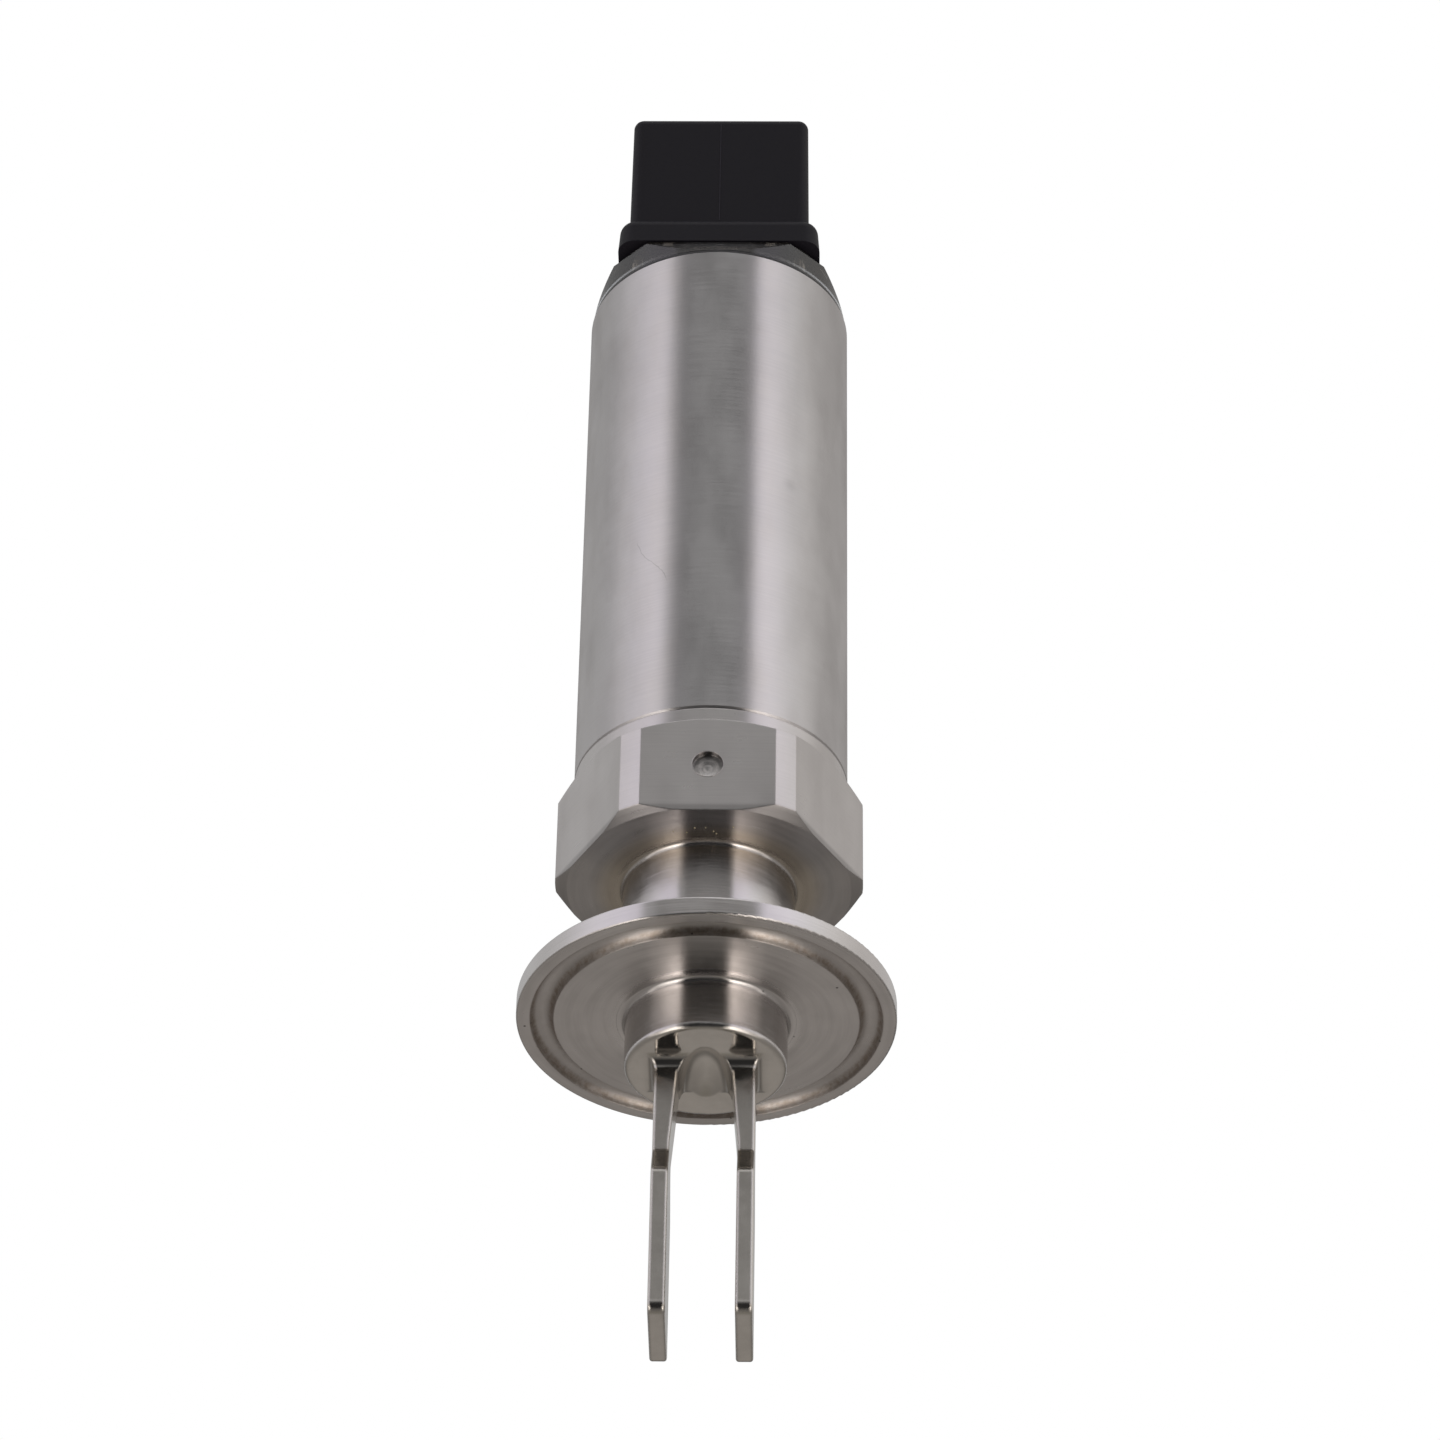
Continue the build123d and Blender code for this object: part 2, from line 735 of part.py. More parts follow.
with BuildPart() as cover_seal:
    with BuildSketch(Plane.XZ):
        with Locations((seal_r, cover_spigot_low + seal_inset + seal_room / 2)):
            Circle((seal_section - slip) / 2)
    revolve(axis=Axis.Z)
cover_seal.part.label = "cover_seal"
export_step(cover_seal.part, "parts/cover_seal.step")


# Connector base: screwed to the cover, holds the blades and the nut of the plug's screw
with BuildPart() as connector_base:
    with BuildSketch(Plane.XY.offset(cover_top)):
        RectangleRounded(base_side, base_side, base_corner_r)
    extrude(amount=base_plate_t)
    with BuildSketch(Plane.XY.offset(base_top)):
        RectangleRounded(base_block_side, base_block_side, inner_corner_r)
    extrude(amount=base_block_h)
    with BuildSketch(Plane.XY.offset(cover_top)):
        Circle(base_spigot_r)
    extrude(amount=-cover_plate_t)
    with BuildSketch(Plane.XY.offset(cover_roof)):
        Circle(insert_nut_d / 2)
        with PolarLocations(blade_r, blade_count):
            Rectangle(blade_t + slip, blade_w + slip)
    extrude(amount=base_block_top - cover_roof, mode=Mode.SUBTRACT)
    with BuildSketch(Plane.XY.offset(base_top)):
        with GridLocations(base_screw_spacing, base_screw_spacing, 2, 2):
            Rectangle(base_screw_head_d + 2 * loose, base_screw_head_d + 2 * loose)
    extrude(amount=base_block_h, mode=Mode.SUBTRACT)
    with Locations(Plane.XY.offset(base_top)):
        with GridLocations(base_screw_spacing, base_screw_spacing, 2, 2):
            CounterSinkHole(base_screw_d / 2 + slip, base_screw_head_d / 2 + slip, base_plate_t)
connector_base.part.label = "connector_base"
export_step(connector_base.part, "parts/connector_base.step")

with BuildPart() as contact_blades:
    with BuildSketch(Plane.XY.offset(cover_roof - blade_tail)):
        with PolarLocations(blade_r, blade_count):
            Rectangle(blade_t, blade_w)
    extrude(amount=base_top + blade_top - cover_roof + blade_tail)
contact_blades.part.label = "contact_blades"
export_step(contact_blades.part, "parts/contact_blades.step")

with BuildPart() as contact_leads:
    with BuildSketch(Plane.XY.offset(cover_step_z)):
        with PolarLocations(blade_r, blade_count):
            Circle(contact_lead_d / 2)
    extrude(amount=cover_roof - blade_tail - cover_step_z)
contact_leads.part.label = "contact_leads"
export_step(contact_leads.part, "parts/contact_leads.step")

with BuildPart() as thread_insert:
    with BuildSketch(Plane.XY.offset(cover_roof)):
        Circle(insert_nut_d / 2 - slip)
        Circle(plug_screw_d / 2 + slip, mode=Mode.SUBTRACT)
    extrude(amount=base_block_top - cover_roof)
thread_insert.part.label = "thread_insert"
export_step(thread_insert.part, "parts/thread_insert.step")

with BuildPart() as base_screws:
    head_h = (base_screw_head_d - base_screw_d) / 2
    with BuildSketch(Plane.XY.offset(base_top)):
        with GridLocations(base_screw_spacing, base_screw_spacing, 2, 2):
            Circle(base_screw_d / 2)
    extrude(amount=-base_screw_length)
    with BuildSketch(Plane.XY.offset(base_top)):
        with GridLocations(base_screw_spacing, base_screw_spacing, 2, 2):
            Circle(base_screw_head_d / 2)
    extrude(amount=-head_h, taper=45)
    with BuildSketch(Plane.XY.offset(base_top)):
        with GridLocations(base_screw_spacing, base_screw_spacing, 2, 2):
            Rectangle(base_screw_head_d, base_slot_w)
    extrude(amount=-head_h / 2, mode=Mode.SUBTRACT)
base_screws.part.label = "base_screws"
export_step(base_screws.part, "parts/base_screws.step")


# Flat gasket of the plug, in the recess of its skirt around the connector base
with BuildPart() as plug_gasket:
    with BuildSketch(Plane.XY.offset(cover_top)):
        RectangleRounded(plug_gasket_side, plug_gasket_side, base_corner_r + plug_gasket_w)
        inner_side = plug_gasket_side - 2 * plug_gasket_w
        RectangleRounded(inner_side, inner_side, base_corner_r, mode=Mode.SUBTRACT)
    extrude(amount=plug_gasket_t)
plug_gasket.part.label = "plug_gasket"
export_step(plug_gasket.part, "parts/plug_gasket.step")


# Plug housing: tapered skirt and block, hollow, with a pillar for the screw and a gland neck
gland_plane = Plane(origin=(0, gland_start, gland_z), x_dir=(-1, 0, 0), z_dir=(0, 1, 0))
with BuildPart() as plug_housing:
    with BuildSketch(Plane.XY.offset(skirt_low)):
        RectangleRounded(skirt_side, skirt_side, skirt_corner_r)
    extrude(amount=skirt_h, taper=skirt_taper)
    fillet(plug_housing.faces().sort_by(Axis.Z)[-1].edges(), skirt_top_r)
    with BuildSketch(Plane.XY.offset(skirt_low)):
        RectangleRounded(plug_side, plug_side, plug_corner_r)
    extrude(amount=skirt_h + plug_h, taper=plug_draft)
    fillet(plug_housing.faces().sort_by(Axis.Z)[-1].edges(), plug_top_r)
    # Hood and neck of the cable gland
    with BuildSketch(gland_plane.offset(-plug_wall)):
        RectangleRounded(hood_w, hood_w - 2 * plug_top_r, hood_corner_r)
    extrude(amount=plug_wall + hood_depth, taper=hood_draft)
    with BuildSketch(gland_plane.offset(-plug_wall)):
        Circle(gland_neck_d / 2)
    extrude(amount=plug_wall + gland_neck_length)
    # Hollow for the gasket, the base, the insert and the wires
    with BuildSketch(Plane.XY.offset(skirt_low)):
        RectangleRounded(recess_side, recess_side, base_corner_r + plug_gasket_w)
    extrude(amount=cover_top + plug_gasket_t - skirt_low, mode=Mode.SUBTRACT)
    with BuildSketch(Plane.XY.offset(skirt_low)):
        RectangleRounded(base_side + 2 * loose, base_side + 2 * loose, base_corner_r)
    extrude(amount=base_top + loose - skirt_low, mode=Mode.SUBTRACT)
    with BuildSketch(Plane.XY.offset(skirt_low)):
        RectangleRounded(cavity_side, cavity_side, inner_corner_r)
    extrude(amount=plug_roof - skirt_low, mode=Mode.SUBTRACT)
    with BuildSketch(gland_plane.offset(gland_neck_length)):
        Circle(grommet_d / 2 + slip)
    extrude(amount=-grommet_length, mode=Mode.SUBTRACT)
    with BuildSketch(gland_plane.offset(gland_neck_length)):
        Circle(cable_bore_d / 2)
    extrude(amount=-(gland_neck_length + 2 * plug_wall), mode=Mode.SUBTRACT)
    # Pillar, recess and hole of the plug screw
    with BuildSketch(Plane.XY.offset(insert_top + loose)):
        Circle(pillar_d / 2)
    extrude(amount=plug_roof - insert_top)
    with Locations((0, 0, plug_top)):
        CounterBoreHole(plug_screw_d / 2 + loose, screw_recess_d / 2, screw_recess_depth, plug_h)
plug_housing.part.label = "plug_housing"
export_step(plug_housing.part, "parts/plug_housing.step")


# Contact insert of the plug, with pockets for the contacts
with BuildPart() as plug_insert:
    with BuildSketch(Plane.XY.offset(insert_low)):
        RectangleRounded(insert_side, insert_side, inner_corner_r)
        Circle(plug_screw_d / 2 + loose, mode=Mode.SUBTRACT)
        with PolarLocations(blade_r, blade_count):
            Rectangle(contact_t + 2 * slip, contact_w + 2 * slip, mode=Mode.SUBTRACT)
    extrude(amount=insert_h)
plug_insert.part.label = "plug_insert"
export_step(plug_insert.part, "parts/plug_insert.step")

terminal_shank = insert_top - (base_top + blade_top) - loose
with BuildPart() as plug_contacts:
    with BuildSketch(Plane.XY.offset(insert_low)):
        with PolarLocations(blade_r, blade_count):
            Rectangle(contact_t, contact_w)
    extrude(amount=insert_h)
    with BuildSketch(Plane.XY.offset(insert_low)):
        with PolarLocations(blade_r, blade_count):
            Rectangle(blade_t + slip, blade_w + slip)
    extrude(amount=base_top + blade_top - insert_low, mode=Mode.SUBTRACT)
    with BuildSketch(Plane.XY.offset(insert_top)):
        with PolarLocations(blade_r, blade_count):
            Circle(terminal_shank_d / 2)
    extrude(amount=-terminal_shank, mode=Mode.SUBTRACT)
plug_contacts.part.label = "plug_contacts"
export_step(plug_contacts.part, "parts/plug_contacts.step")

with BuildPart() as terminal_screws:
    with BuildSketch(Plane.XY.offset(insert_top)):
        with PolarLocations(blade_r, blade_count):
            Circle(terminal_head_d / 2)
    extrude(amount=terminal_head_h)
    with BuildSketch(Plane.XY.offset(insert_top + terminal_head_h)):
        with PolarLocations(blade_r, blade_count):
            Rectangle(screw_slot_w, terminal_head_d)
    extrude(amount=-screw_slot_depth, mode=Mode.SUBTRACT)
    with BuildSketch(Plane.XY.offset(insert_top)):
        with PolarLocations(blade_r, blade_count):
            Circle(terminal_shank_d / 2 - slip)
    extrude(amount=-(terminal_shank - loose))
terminal_screws.part.label = "terminal_screws"
export_step(terminal_screws.part, "parts/terminal_screws.step")


# Plug screw through the pillar into the base, with a seal under its head
head_low = screw_seat + screw_seal_t
with BuildPart() as plug_screw:
    with BuildSketch(Plane.XY.offset(head_low)):
        Circle(plug_screw_head_d / 2)
    extrude(amount=plug_screw_head_h)
    chamfer(plug_screw.faces().sort_by(Axis.Z)[-1].edges(), plug_screw_chamfer)
    with BuildSketch(Plane.XY.offset(head_low + plug_screw_head_h)):
        Rectangle(plug_screw_head_d, screw_slot_w)
    extrude(amount=-screw_slot_depth, mode=Mode.SUBTRACT)
    with BuildSketch(Plane.XY.offset(head_low)):
        Circle(plug_screw_d / 2)
    extrude(amount=-(head_low - cover_top))
plug_screw.part.label = "plug_screw"
export_step(plug_screw.part, "parts/plug_screw.step")

with BuildPart() as screw_seal:
    with BuildSketch(Plane.XY.offset(screw_seat)):
        Circle(screw_recess_d / 2 - loose)
        Circle(plug_screw_d / 2 + slip, mode=Mode.SUBTRACT)
    extrude(amount=screw_seal_t)
screw_seal.part.label = "screw_seal"
export_step(screw_seal.part, "parts/screw_seal.step")


# Cable gland: rubber grommet in the neck, thrust washer and hexagon nut
with BuildPart() as gland_grommet:
    with BuildSketch(gland_plane.offset(gland_neck_length)):
        Circle(grommet_d / 2)
        Circle(grommet_hole_d / 2, mode=Mode.SUBTRACT)
    extrude(amount=-grommet_length)
gland_grommet.part.label = "gland_grommet"
export_step(gland_grommet.part, "parts/gland_grommet.step")

with BuildPart() as gland_washer:
    with BuildSketch(gland_plane.offset(gland_neck_length)):
        Circle(grommet_d / 2)
        Circle(nut_hole_d / 2, mode=Mode.SUBTRACT)
    extrude(amount=gland_washer_t)
gland_washer.part.label = "gland_washer"
export_step(gland_washer.part, "parts/gland_washer.step")

nut_plane = gland_plane.offset(nut_start - gland_start)
nut_length = nut_end_y - nut_start
with BuildPart() as gland_nut:
    with BuildSketch(nut_plane):
        RegularPolygon(nut_flats / 2, 6, major_radius=False)
    extrude(amount=nut_length)
    nut_corner_r = nut_flats / math.sqrt(3)
    with BuildSketch(Plane.YZ) as nut_turning:
        Polygon(
            (nut_start, gland_z),
            (nut_start, gland_z + nut_flats / 2),
            (nut_start + nut_chamfer / 2, gland_z + nut_corner_r),
            (nut_end_y - nut_chamfer, gland_z + nut_corner_r),
            (nut_end_y, gland_z + nut_flats / 2 - nut_chamfer / 2),
            (nut_end_y, gland_z),
            align=None,
        )
    revolve(axis=Axis((0, 0, gland_z), (0, 1, 0)), mode=Mode.INTERSECT)
    with BuildSketch(nut_plane):
        Circle(gland_neck_d / 2 + slip)
    extrude(amount=nut_length - nut_end_t, mode=Mode.SUBTRACT)
    with BuildSketch(nut_plane):
        Circle(nut_hole_d / 2)
    extrude(amount=nut_length, mode=Mode.SUBTRACT)
gland_nut.part.label = "gland_nut"
export_step(gland_nut.part, "parts/gland_nut.step")
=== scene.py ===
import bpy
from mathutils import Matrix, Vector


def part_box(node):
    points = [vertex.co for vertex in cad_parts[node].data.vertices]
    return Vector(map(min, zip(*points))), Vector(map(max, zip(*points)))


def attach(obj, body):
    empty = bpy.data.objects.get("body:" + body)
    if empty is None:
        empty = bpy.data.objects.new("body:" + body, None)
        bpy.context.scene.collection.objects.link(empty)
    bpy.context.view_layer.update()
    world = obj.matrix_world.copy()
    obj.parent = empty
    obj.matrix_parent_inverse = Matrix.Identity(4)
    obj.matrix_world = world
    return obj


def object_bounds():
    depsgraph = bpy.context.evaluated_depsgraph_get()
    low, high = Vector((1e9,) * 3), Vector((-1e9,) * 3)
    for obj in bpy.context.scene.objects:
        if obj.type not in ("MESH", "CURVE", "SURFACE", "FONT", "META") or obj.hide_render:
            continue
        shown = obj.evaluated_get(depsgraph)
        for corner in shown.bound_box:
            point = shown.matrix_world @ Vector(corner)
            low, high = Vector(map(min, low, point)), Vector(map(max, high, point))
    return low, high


bl_info = {
    "name": "Tuning Fork Level Switch",
    "version": (1, 0, 0),
    "blender": (4, 5, 0),
    "location": "View3D > Sidebar > Level Switch",
    "description": "Finishes, fine fittings and studio for a tuning fork level switch",
    "category": "Object",
}

import math

import bpy
from bpy.props import FloatProperty, FloatVectorProperty, PointerProperty
from mathutils import Matrix, Vector

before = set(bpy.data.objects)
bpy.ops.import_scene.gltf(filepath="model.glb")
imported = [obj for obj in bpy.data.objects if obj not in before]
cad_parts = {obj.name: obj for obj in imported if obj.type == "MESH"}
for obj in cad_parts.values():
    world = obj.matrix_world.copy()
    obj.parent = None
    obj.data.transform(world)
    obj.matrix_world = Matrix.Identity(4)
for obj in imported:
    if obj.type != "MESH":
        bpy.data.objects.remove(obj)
CAD_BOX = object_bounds()

MM = 0.001
PLUG_LOW, PLUG_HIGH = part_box("plug_housing")
NUT_LOW, NUT_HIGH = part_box("gland_nut")
TUBE_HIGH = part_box("housing_tube")[1]
TUBE_R = TUBE_HIGH.x
GASKET_THICKNESS = 0.4 * MM
COVER_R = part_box("clear_cover")[1].x
COVER_FOOT = TUBE_HIGH.z + GASKET_THICKNESS
HEXAGON_FOOT = 21.3 * MM
GROOVE_R = 21.85 * MM

# The drilled mark: its centre on the front flat, its radius, and a depth that holds all of it
MARK_CENTRE = Vector((0.0, -18.75 * MM, 28.8 * MM))
MARK_R = 2.1 * MM
MARK_DEPTH = 1.4 * MM

# The joint between the boss and the ferrule's face lies below this height and inside this radius
JOINT_TOP = 1 * MM
JOINT_R = 15 * MM

# Radii between which one finish fades into the next
FINE_NECK = (13.0 * MM, 12.0 * MM)
FINE_RIM = (24.8 * MM, 25.1 * MM)
# Radii outside the neck where the painted shade under the hexagon begins
PAINTED_SHADE_OUTSIDE_NECK = (11.7 * MM, 12.0 * MM)
# Radii within which that painted shade takes a warm painted reflection
PAINTED_WARMTH_NEAR_NECK = (16.5 * MM, 13.0 * MM)
BOSS_SIDE = (10.5 * MM, 10.7 * MM)
SOFT_FORK = (11.1 * MM, 11.0 * MM)
COVER_SIDE = (COVER_R - 1.0 * MM, COVER_R - 0.8 * MM)

# Heights between which one finish fades into the next
FERRULE_TOP = (6.0 * MM, 5.0 * MM)
GROOVE_TOP = (2.0 * MM, 1.6 * MM)
TINE_START = (-9 * MM, -14 * MM)
TUBE_DIMMING = (60 * MM, 118 * MM)

# Distances from the middle of the gasket groove: its edge, and its walls where painted shade
# deepens the tarnish
GROOVE_EDGE = (1.75 * MM, 1.35 * MM)
GROOVE_WALL_SHADE = (0.7 * MM, 1.25 * MM)

# Heights above the foot of the clear cover: its foot of painted shade, and both edges of its line
# of painted highlight
PAINTED_FOOT_SHADE = (0.30 * MM, 0.22 * MM)
PAINTED_HIGHLIGHT_FOOT = (0.28 * MM, 0.45 * MM)
PAINTED_HIGHLIGHT_TOP = (0.95 * MM, 0.65 * MM)
# Distances to the side between which that painted highlight comes up
PAINTED_HIGHLIGHT_SIDE = (6.5 * MM, 16.5 * MM)

# The worn spot on the tube: its turn from the front, its height and its radius
WORN_TURN = math.radians(34.7)
WORN_HEIGHT = 79.8 * MM
WORN_R = 1.6 * MM

# The scratch on the tube: its ends, its turns from the front there and half its width in radians
SCRATCH_FOOT, SCRATCH_TOP = 61.0 * MM, 69.5 * MM
SCRATCH_TURNS = (-0.34, -0.60)
SCRATCH_WIDTH = (0.006, 0.0015)

THREAD_STEPS = 96
RING_STEPS = 96
SEAM_STEPS = 120
DUST_PATCH = (9 * MM, 3 * MM)
DUST_CENTRE = Vector((-1.0 * MM, -14.4 * MM, HEXAGON_FOOT))
DUST_SEED = 4


class Graph:
    """Adds nodes to one node tree and joins them."""

    def __init__(self, tree):
        self.tree = tree

    def put(self, socket, value):
        """Joins an input to another node's output, or gives it a plain value."""
        if isinstance(value, bpy.types.NodeSocket):
            self.tree.links.new(value, socket)
        else:
            socket.default_value = value

    def add(self, kind, inputs=None, **settings):
        """A new node with these settings and inputs."""
        node = self.tree.nodes.new(kind)
        for name, value in settings.items():
            setattr(node, name, value)
        for name, value in (inputs or {}).items():
            self.put(node.inputs[name], value)
        return node

    def math(self, operation, *values, clamp=False):
        """One step of arithmetic on numbers."""
        node = self.add("ShaderNodeMath", operation=operation, use_clamp=clamp)
        for socket, value in zip(node.inputs, values):
            self.put(socket, value)
        return node.outputs["Value"]

    def plus(self, total, *others):
        """The sum of these numbers."""
        for other in others:
            total = self.math("ADD", total, other)
        return total

    def minus(self, first, second):
        """The first number less the second."""
        return self.math("SUBTRACT", first, second)

    def times(self, product, *others):
        """The product of these numbers."""
        for other in others:
            product = self.math("MULTIPLY", product, other)
        return product

    def apart(self, first, second):
        """How far two numbers lie apart."""
        return self.math("ABSOLUTE", self.minus(first, second))

    def vector(self, operation, *values):
        """One step of arithmetic on vectors."""
        node = self.add("ShaderNodeVectorMath", operation=operation)
        for socket, value in zip(node.inputs, values):
            self.put(socket, value)
        single = operation in ("LENGTH", "DISTANCE", "DOT_PRODUCT")
        return node.outputs["Value" if single else "Vector"]

    def join(self, x, y, z):
        """A vector from three numbers."""
        return self.add("ShaderNodeCombineXYZ", {"X": x, "Y": y, "Z": z}).outputs["Vector"]

    def split(self, vector):
        """The three numbers of a vector."""
        return list(self.add("ShaderNodeSeparateXYZ", {"Vector": vector}).outputs)

    def length(self, x, y, z):
        """The length of a vector with these three numbers."""
        return self.vector("LENGTH", self.join(x, y, z))

    def azimuth(self, x, y):
        """The turn about the vertical axis in radians, from the front to the right."""
        return self.math("ARCTAN2", x, self.times(y, -1.0))

    def noise(self, place, scale, detail=3.0, roughness=0.5):
        """Soft noise from 0 to 1, about 0.5."""
        inputs = {"Vector": place, "Scale": scale, "Detail": detail, "Roughness": roughness}
        return self.add("ShaderNodeTexNoise", inputs).outputs["Fac"]

    def fade(self, value, start, end, low=0.0, high=1.0):
        """Goes smoothly from low to high while the value goes from start to end."""
        inputs = {
            "Value": value, "From Min": start, "From Max": end, "To Min": low, "To Max": high,
        }
        node = self.add("ShaderNodeMapRange", inputs, interpolation_type="SMOOTHSTEP")
        return node.outputs["Result"]

    def spread(self, noise, low, high):
        """Noise stretched to go from low to high."""
        return self.fade(noise, 0.3, 0.7, low, high)

    def between(self, factor, first, second):
        """The first number where the factor is 0, the second where it is 1."""
        return self.fade(factor, 0.0, 1.0, first, second)

    def blend(self, factor, first, second):
        """The first colour where the factor is 0, the second where it is 1."""
        node = self.add("ShaderNodeMix", data_type="RGBA")
        for index, value in ((0, factor), (6, first), (7, second)):
            self.put(node.inputs[index], value)
        return node.outputs[2]

    def grey(self, brightness):
        """A grey of this brightness."""
        return self.join(brightness, brightness, brightness)

    def bump(self, height, distance, edge=None):
        """A normal tilted by a height from 0 to 1 that stands for this distance, with edges
        softened by this radius."""
        inputs = {"Height": height, "Distance": distance}
        if edge is not None:
            softened = self.add("ShaderNodeBevel", {"Radius": edge}, samples=4)
            inputs["Normal"] = softened.outputs["Normal"]
        return self.add("ShaderNodeBump", inputs).outputs["Normal"]

    def seen_directly(self):
        """1 for what the camera sees by itself or through clear plastic, 0 for other light."""
        rays = self.add("ShaderNodeLightPath").outputs
        return self.math("MAXIMUM", rays["Is Camera Ray"], rays["Is Transmission Ray"])


def emptied_tree(owner):
    """The node tree of a material or world, without the nodes that it starts with."""
    owner.use_nodes = True
    owner.node_tree.nodes.clear()
    return owner.node_tree


def opaque(colour):
    """A colour with full alpha, as a socket takes it."""
    return (*tuple(colour)[:3], 1.0)


class Finish(Graph):
    """A procedural material, with its shader and the place on the piece in metres."""

    def __init__(self, name, values=None):
        self.material = bpy.data.materials.new(name)
        super().__init__(emptied_tree(self.material))
        self.shader = self.add("ShaderNodeBsdfPrincipled", values)
        self.add("ShaderNodeOutputMaterial", {"Surface": self.shader.outputs["BSDF"]})
        self.place = self.add("ShaderNodeTexCoord").outputs["Object"]

    def set(self, name, value):
        """Gives an input of the shader its value."""
        self.put(self.shader.inputs[name], value)

    def shade(self, colour, brightness):
        """Gives the piece this colour, lighter or darker by a number about 1."""
        self.set("Base Color", self.vector("MULTIPLY", tuple(colour)[:3], self.grey(brightness)))

    def tint(self, colour):
        """Multiplies the colours that the piece has so far by this one."""
        so_far = self.shader.inputs["Base Color"].links[0].from_socket
        self.set("Base Color", self.vector("MULTIPLY", so_far, colour))

    def normal(self):
        """The direction that the surface faces."""
        return self.add("ShaderNodeNewGeometry").outputs["Normal"]

    def cells(self, size, distance="EUCLIDEAN"):
        """The distance from the middle of cells of this size."""
        inputs = {"Vector": self.place, "Scale": 1 / size}
        return self.add("ShaderNodeTexVoronoi", inputs, distance=distance).outputs["Distance"]

    def pits(self, depth):
        """Brightness with a few small pits, which are darker by this depth."""
        return self.minus(1.0, self.times(self.fade(self.cells(4 * MM), 0.055, 0.030), depth))


class TurnedFinish(Finish):
    """Steel as a lathe leaves it: circles about the vertical axis, with their lines and grain.
    The lines follow the height on walls and the radius on faces, which the tilt tells apart."""

    # How far a wall's normal and a face's normal point up or down
    WALL_TILT, FACE_TILT = 0.45, 0.75

    def __init__(self, name, steel, values=None):
        super().__init__(name, {"Metallic": 1.0, **(values or {})})
        self.steel = steel
        self.x, self.y, self.z = self.split(self.place)
        self.radius = self.length(self.x, self.y, 0.0)
        normal = self.normal()
        tilt = self.math("ABSOLUTE", self.split(normal)[2])
        self.level = self.fade(tilt, self.WALL_TILT, self.FACE_TILT)
        face_part = self.times(self.radius, self.level)
        wall_part = self.times(self.z, self.minus(1.0, self.level))
        self.across = self.plus(face_part, wall_part)
        circle = self.join(self.times(self.y, -1.0), self.x, 0.0)
        across_circle = self.vector("CROSS_PRODUCT", normal, circle)
        self.set("Tangent", self.vector("NORMALIZE", across_circle))

    def lines(self, pitch, turns, detail=3.0):
        """Noise drawn out along the circles, with lines of this pitch that fade after a part
        turn."""
        around_x = self.times(self.math("DIVIDE", self.x, self.radius), turns)
        around_y = self.times(self.math("DIVIDE", self.y, self.radius), turns)
        step = self.math("DIVIDE", self.across, pitch)
        return self.noise(self.join(around_x, around_y, step), 1.0, detail)

    def lathe_marks(self):
        """The brightness, the change in roughness and the height of the lathe lines, with cloudy
        tone and soft smears."""
        pitch, cloud_size = self.steel.line_pitch, self.steel.cloud_size
        wide = self.lines(pitch, 2.0)
        fine = self.lines(pitch / 4, 2.5, 1.0)
        broad = self.lines(4 * pitch, 1.2)
        cloud = self.noise(self.place, 1 / cloud_size, 4.0)
        tone = self.plus(
            self.spread(wide, 0.965, 1.025),
            self.spread(cloud, -0.03, 0.03),
            self.times(self.level, self.spread(broad, -0.06, 0.05)),
        )
        drawn_up = self.vector("MULTIPLY", self.place, (1.0, 1.0, 0.35))
        smear = self.noise(drawn_up, 2.5 / cloud_size, 5.0, 0.6)
        uneven = self.plus(
            self.fade(smear, 0.35, 0.75, -0.02, 0.05), self.spread(wide, -0.03, 0.03)
        )
        finer = self.plus(
            self.fade(self.radius, *FINE_NECK), self.fade(self.radius, *FINE_RIM)
        )
        rough = self.minus(uneven, self.times(finer, self.steel.finer_by))
        height = self.plus(self.times(wide, 0.6), self.times(fine, 0.4))
        return tone, rough, height

    def turn_all_over(self, colour, roughness, edge):
        """Gives the whole piece lathe marks, and edges softened by this radius. Around the joint
        with the boss they stay sharp, because a soft edge there turns into a dark ring."""
        tone, rough, height = self.lathe_marks()
        self.shade(colour, tone)
        self.set("Roughness", self.plus(rough, roughness))
        above = self.math("GREATER_THAN", self.z, JOINT_TOP)
        outside = self.math("GREATER_THAN", self.radius, JOINT_R)
        softened = self.times(self.math("MAXIMUM", above, outside), edge)
        self.set("Normal", self.bump(height, self.steel.line_depth, softened))


def body_steel(steel):
    """The turned and milled steel of the process body, with pits, a drilled mark, painted shade
    with a warm tint under the hexagon beside the neck, and a tarnished groove for the gasket
    whose walls carry painted shade."""
    body = TurnedFinish("turned_body_steel", steel, {"Anisotropic": 0.95})
    body.turn_all_over(steel.body_colour, steel.body_roughness, steel.edge_softness)
    grime = body.noise(body.place, 1.2 / MM, 4.0, 0.65)
    pits = body.pits(body.fade(body.z, *FERRULE_TOP, 0.0, 0.75))
    # Painted shade: the underside of the hexagon beside the neck is darkened down to 0.68
    at_foot = body.fade(body.apart(body.z, HEXAGON_FOOT), 1.5 * MM, 0.3 * MM)
    under = body.times(at_foot, body.fade(body.radius, *PAINTED_SHADE_OUTSIDE_NECK))
    plain = body.times(pits, body.between(under, 1.0, 0.68))
    inside, floor = drilled_mark(body, grime)
    body.tint(body.grey(body.between(inside, plain, floor)))
    # Painted reflection: a warm tint in the painted shade under the hexagon, strongest near the
    # neck
    painted_warmth_near_neck = body.times(under, body.fade(body.radius, *PAINTED_WARMTH_NEAR_NECK))
    tarnish = groove_tarnish_and_shade(body, grime)
    warm = body.blend(tarnish, (1, 1, 1, 1), opaque(steel.tarnish_colour))
    body.tint(body.blend(painted_warmth_near_neck, warm, opaque(steel.corner_colour)))
    return body


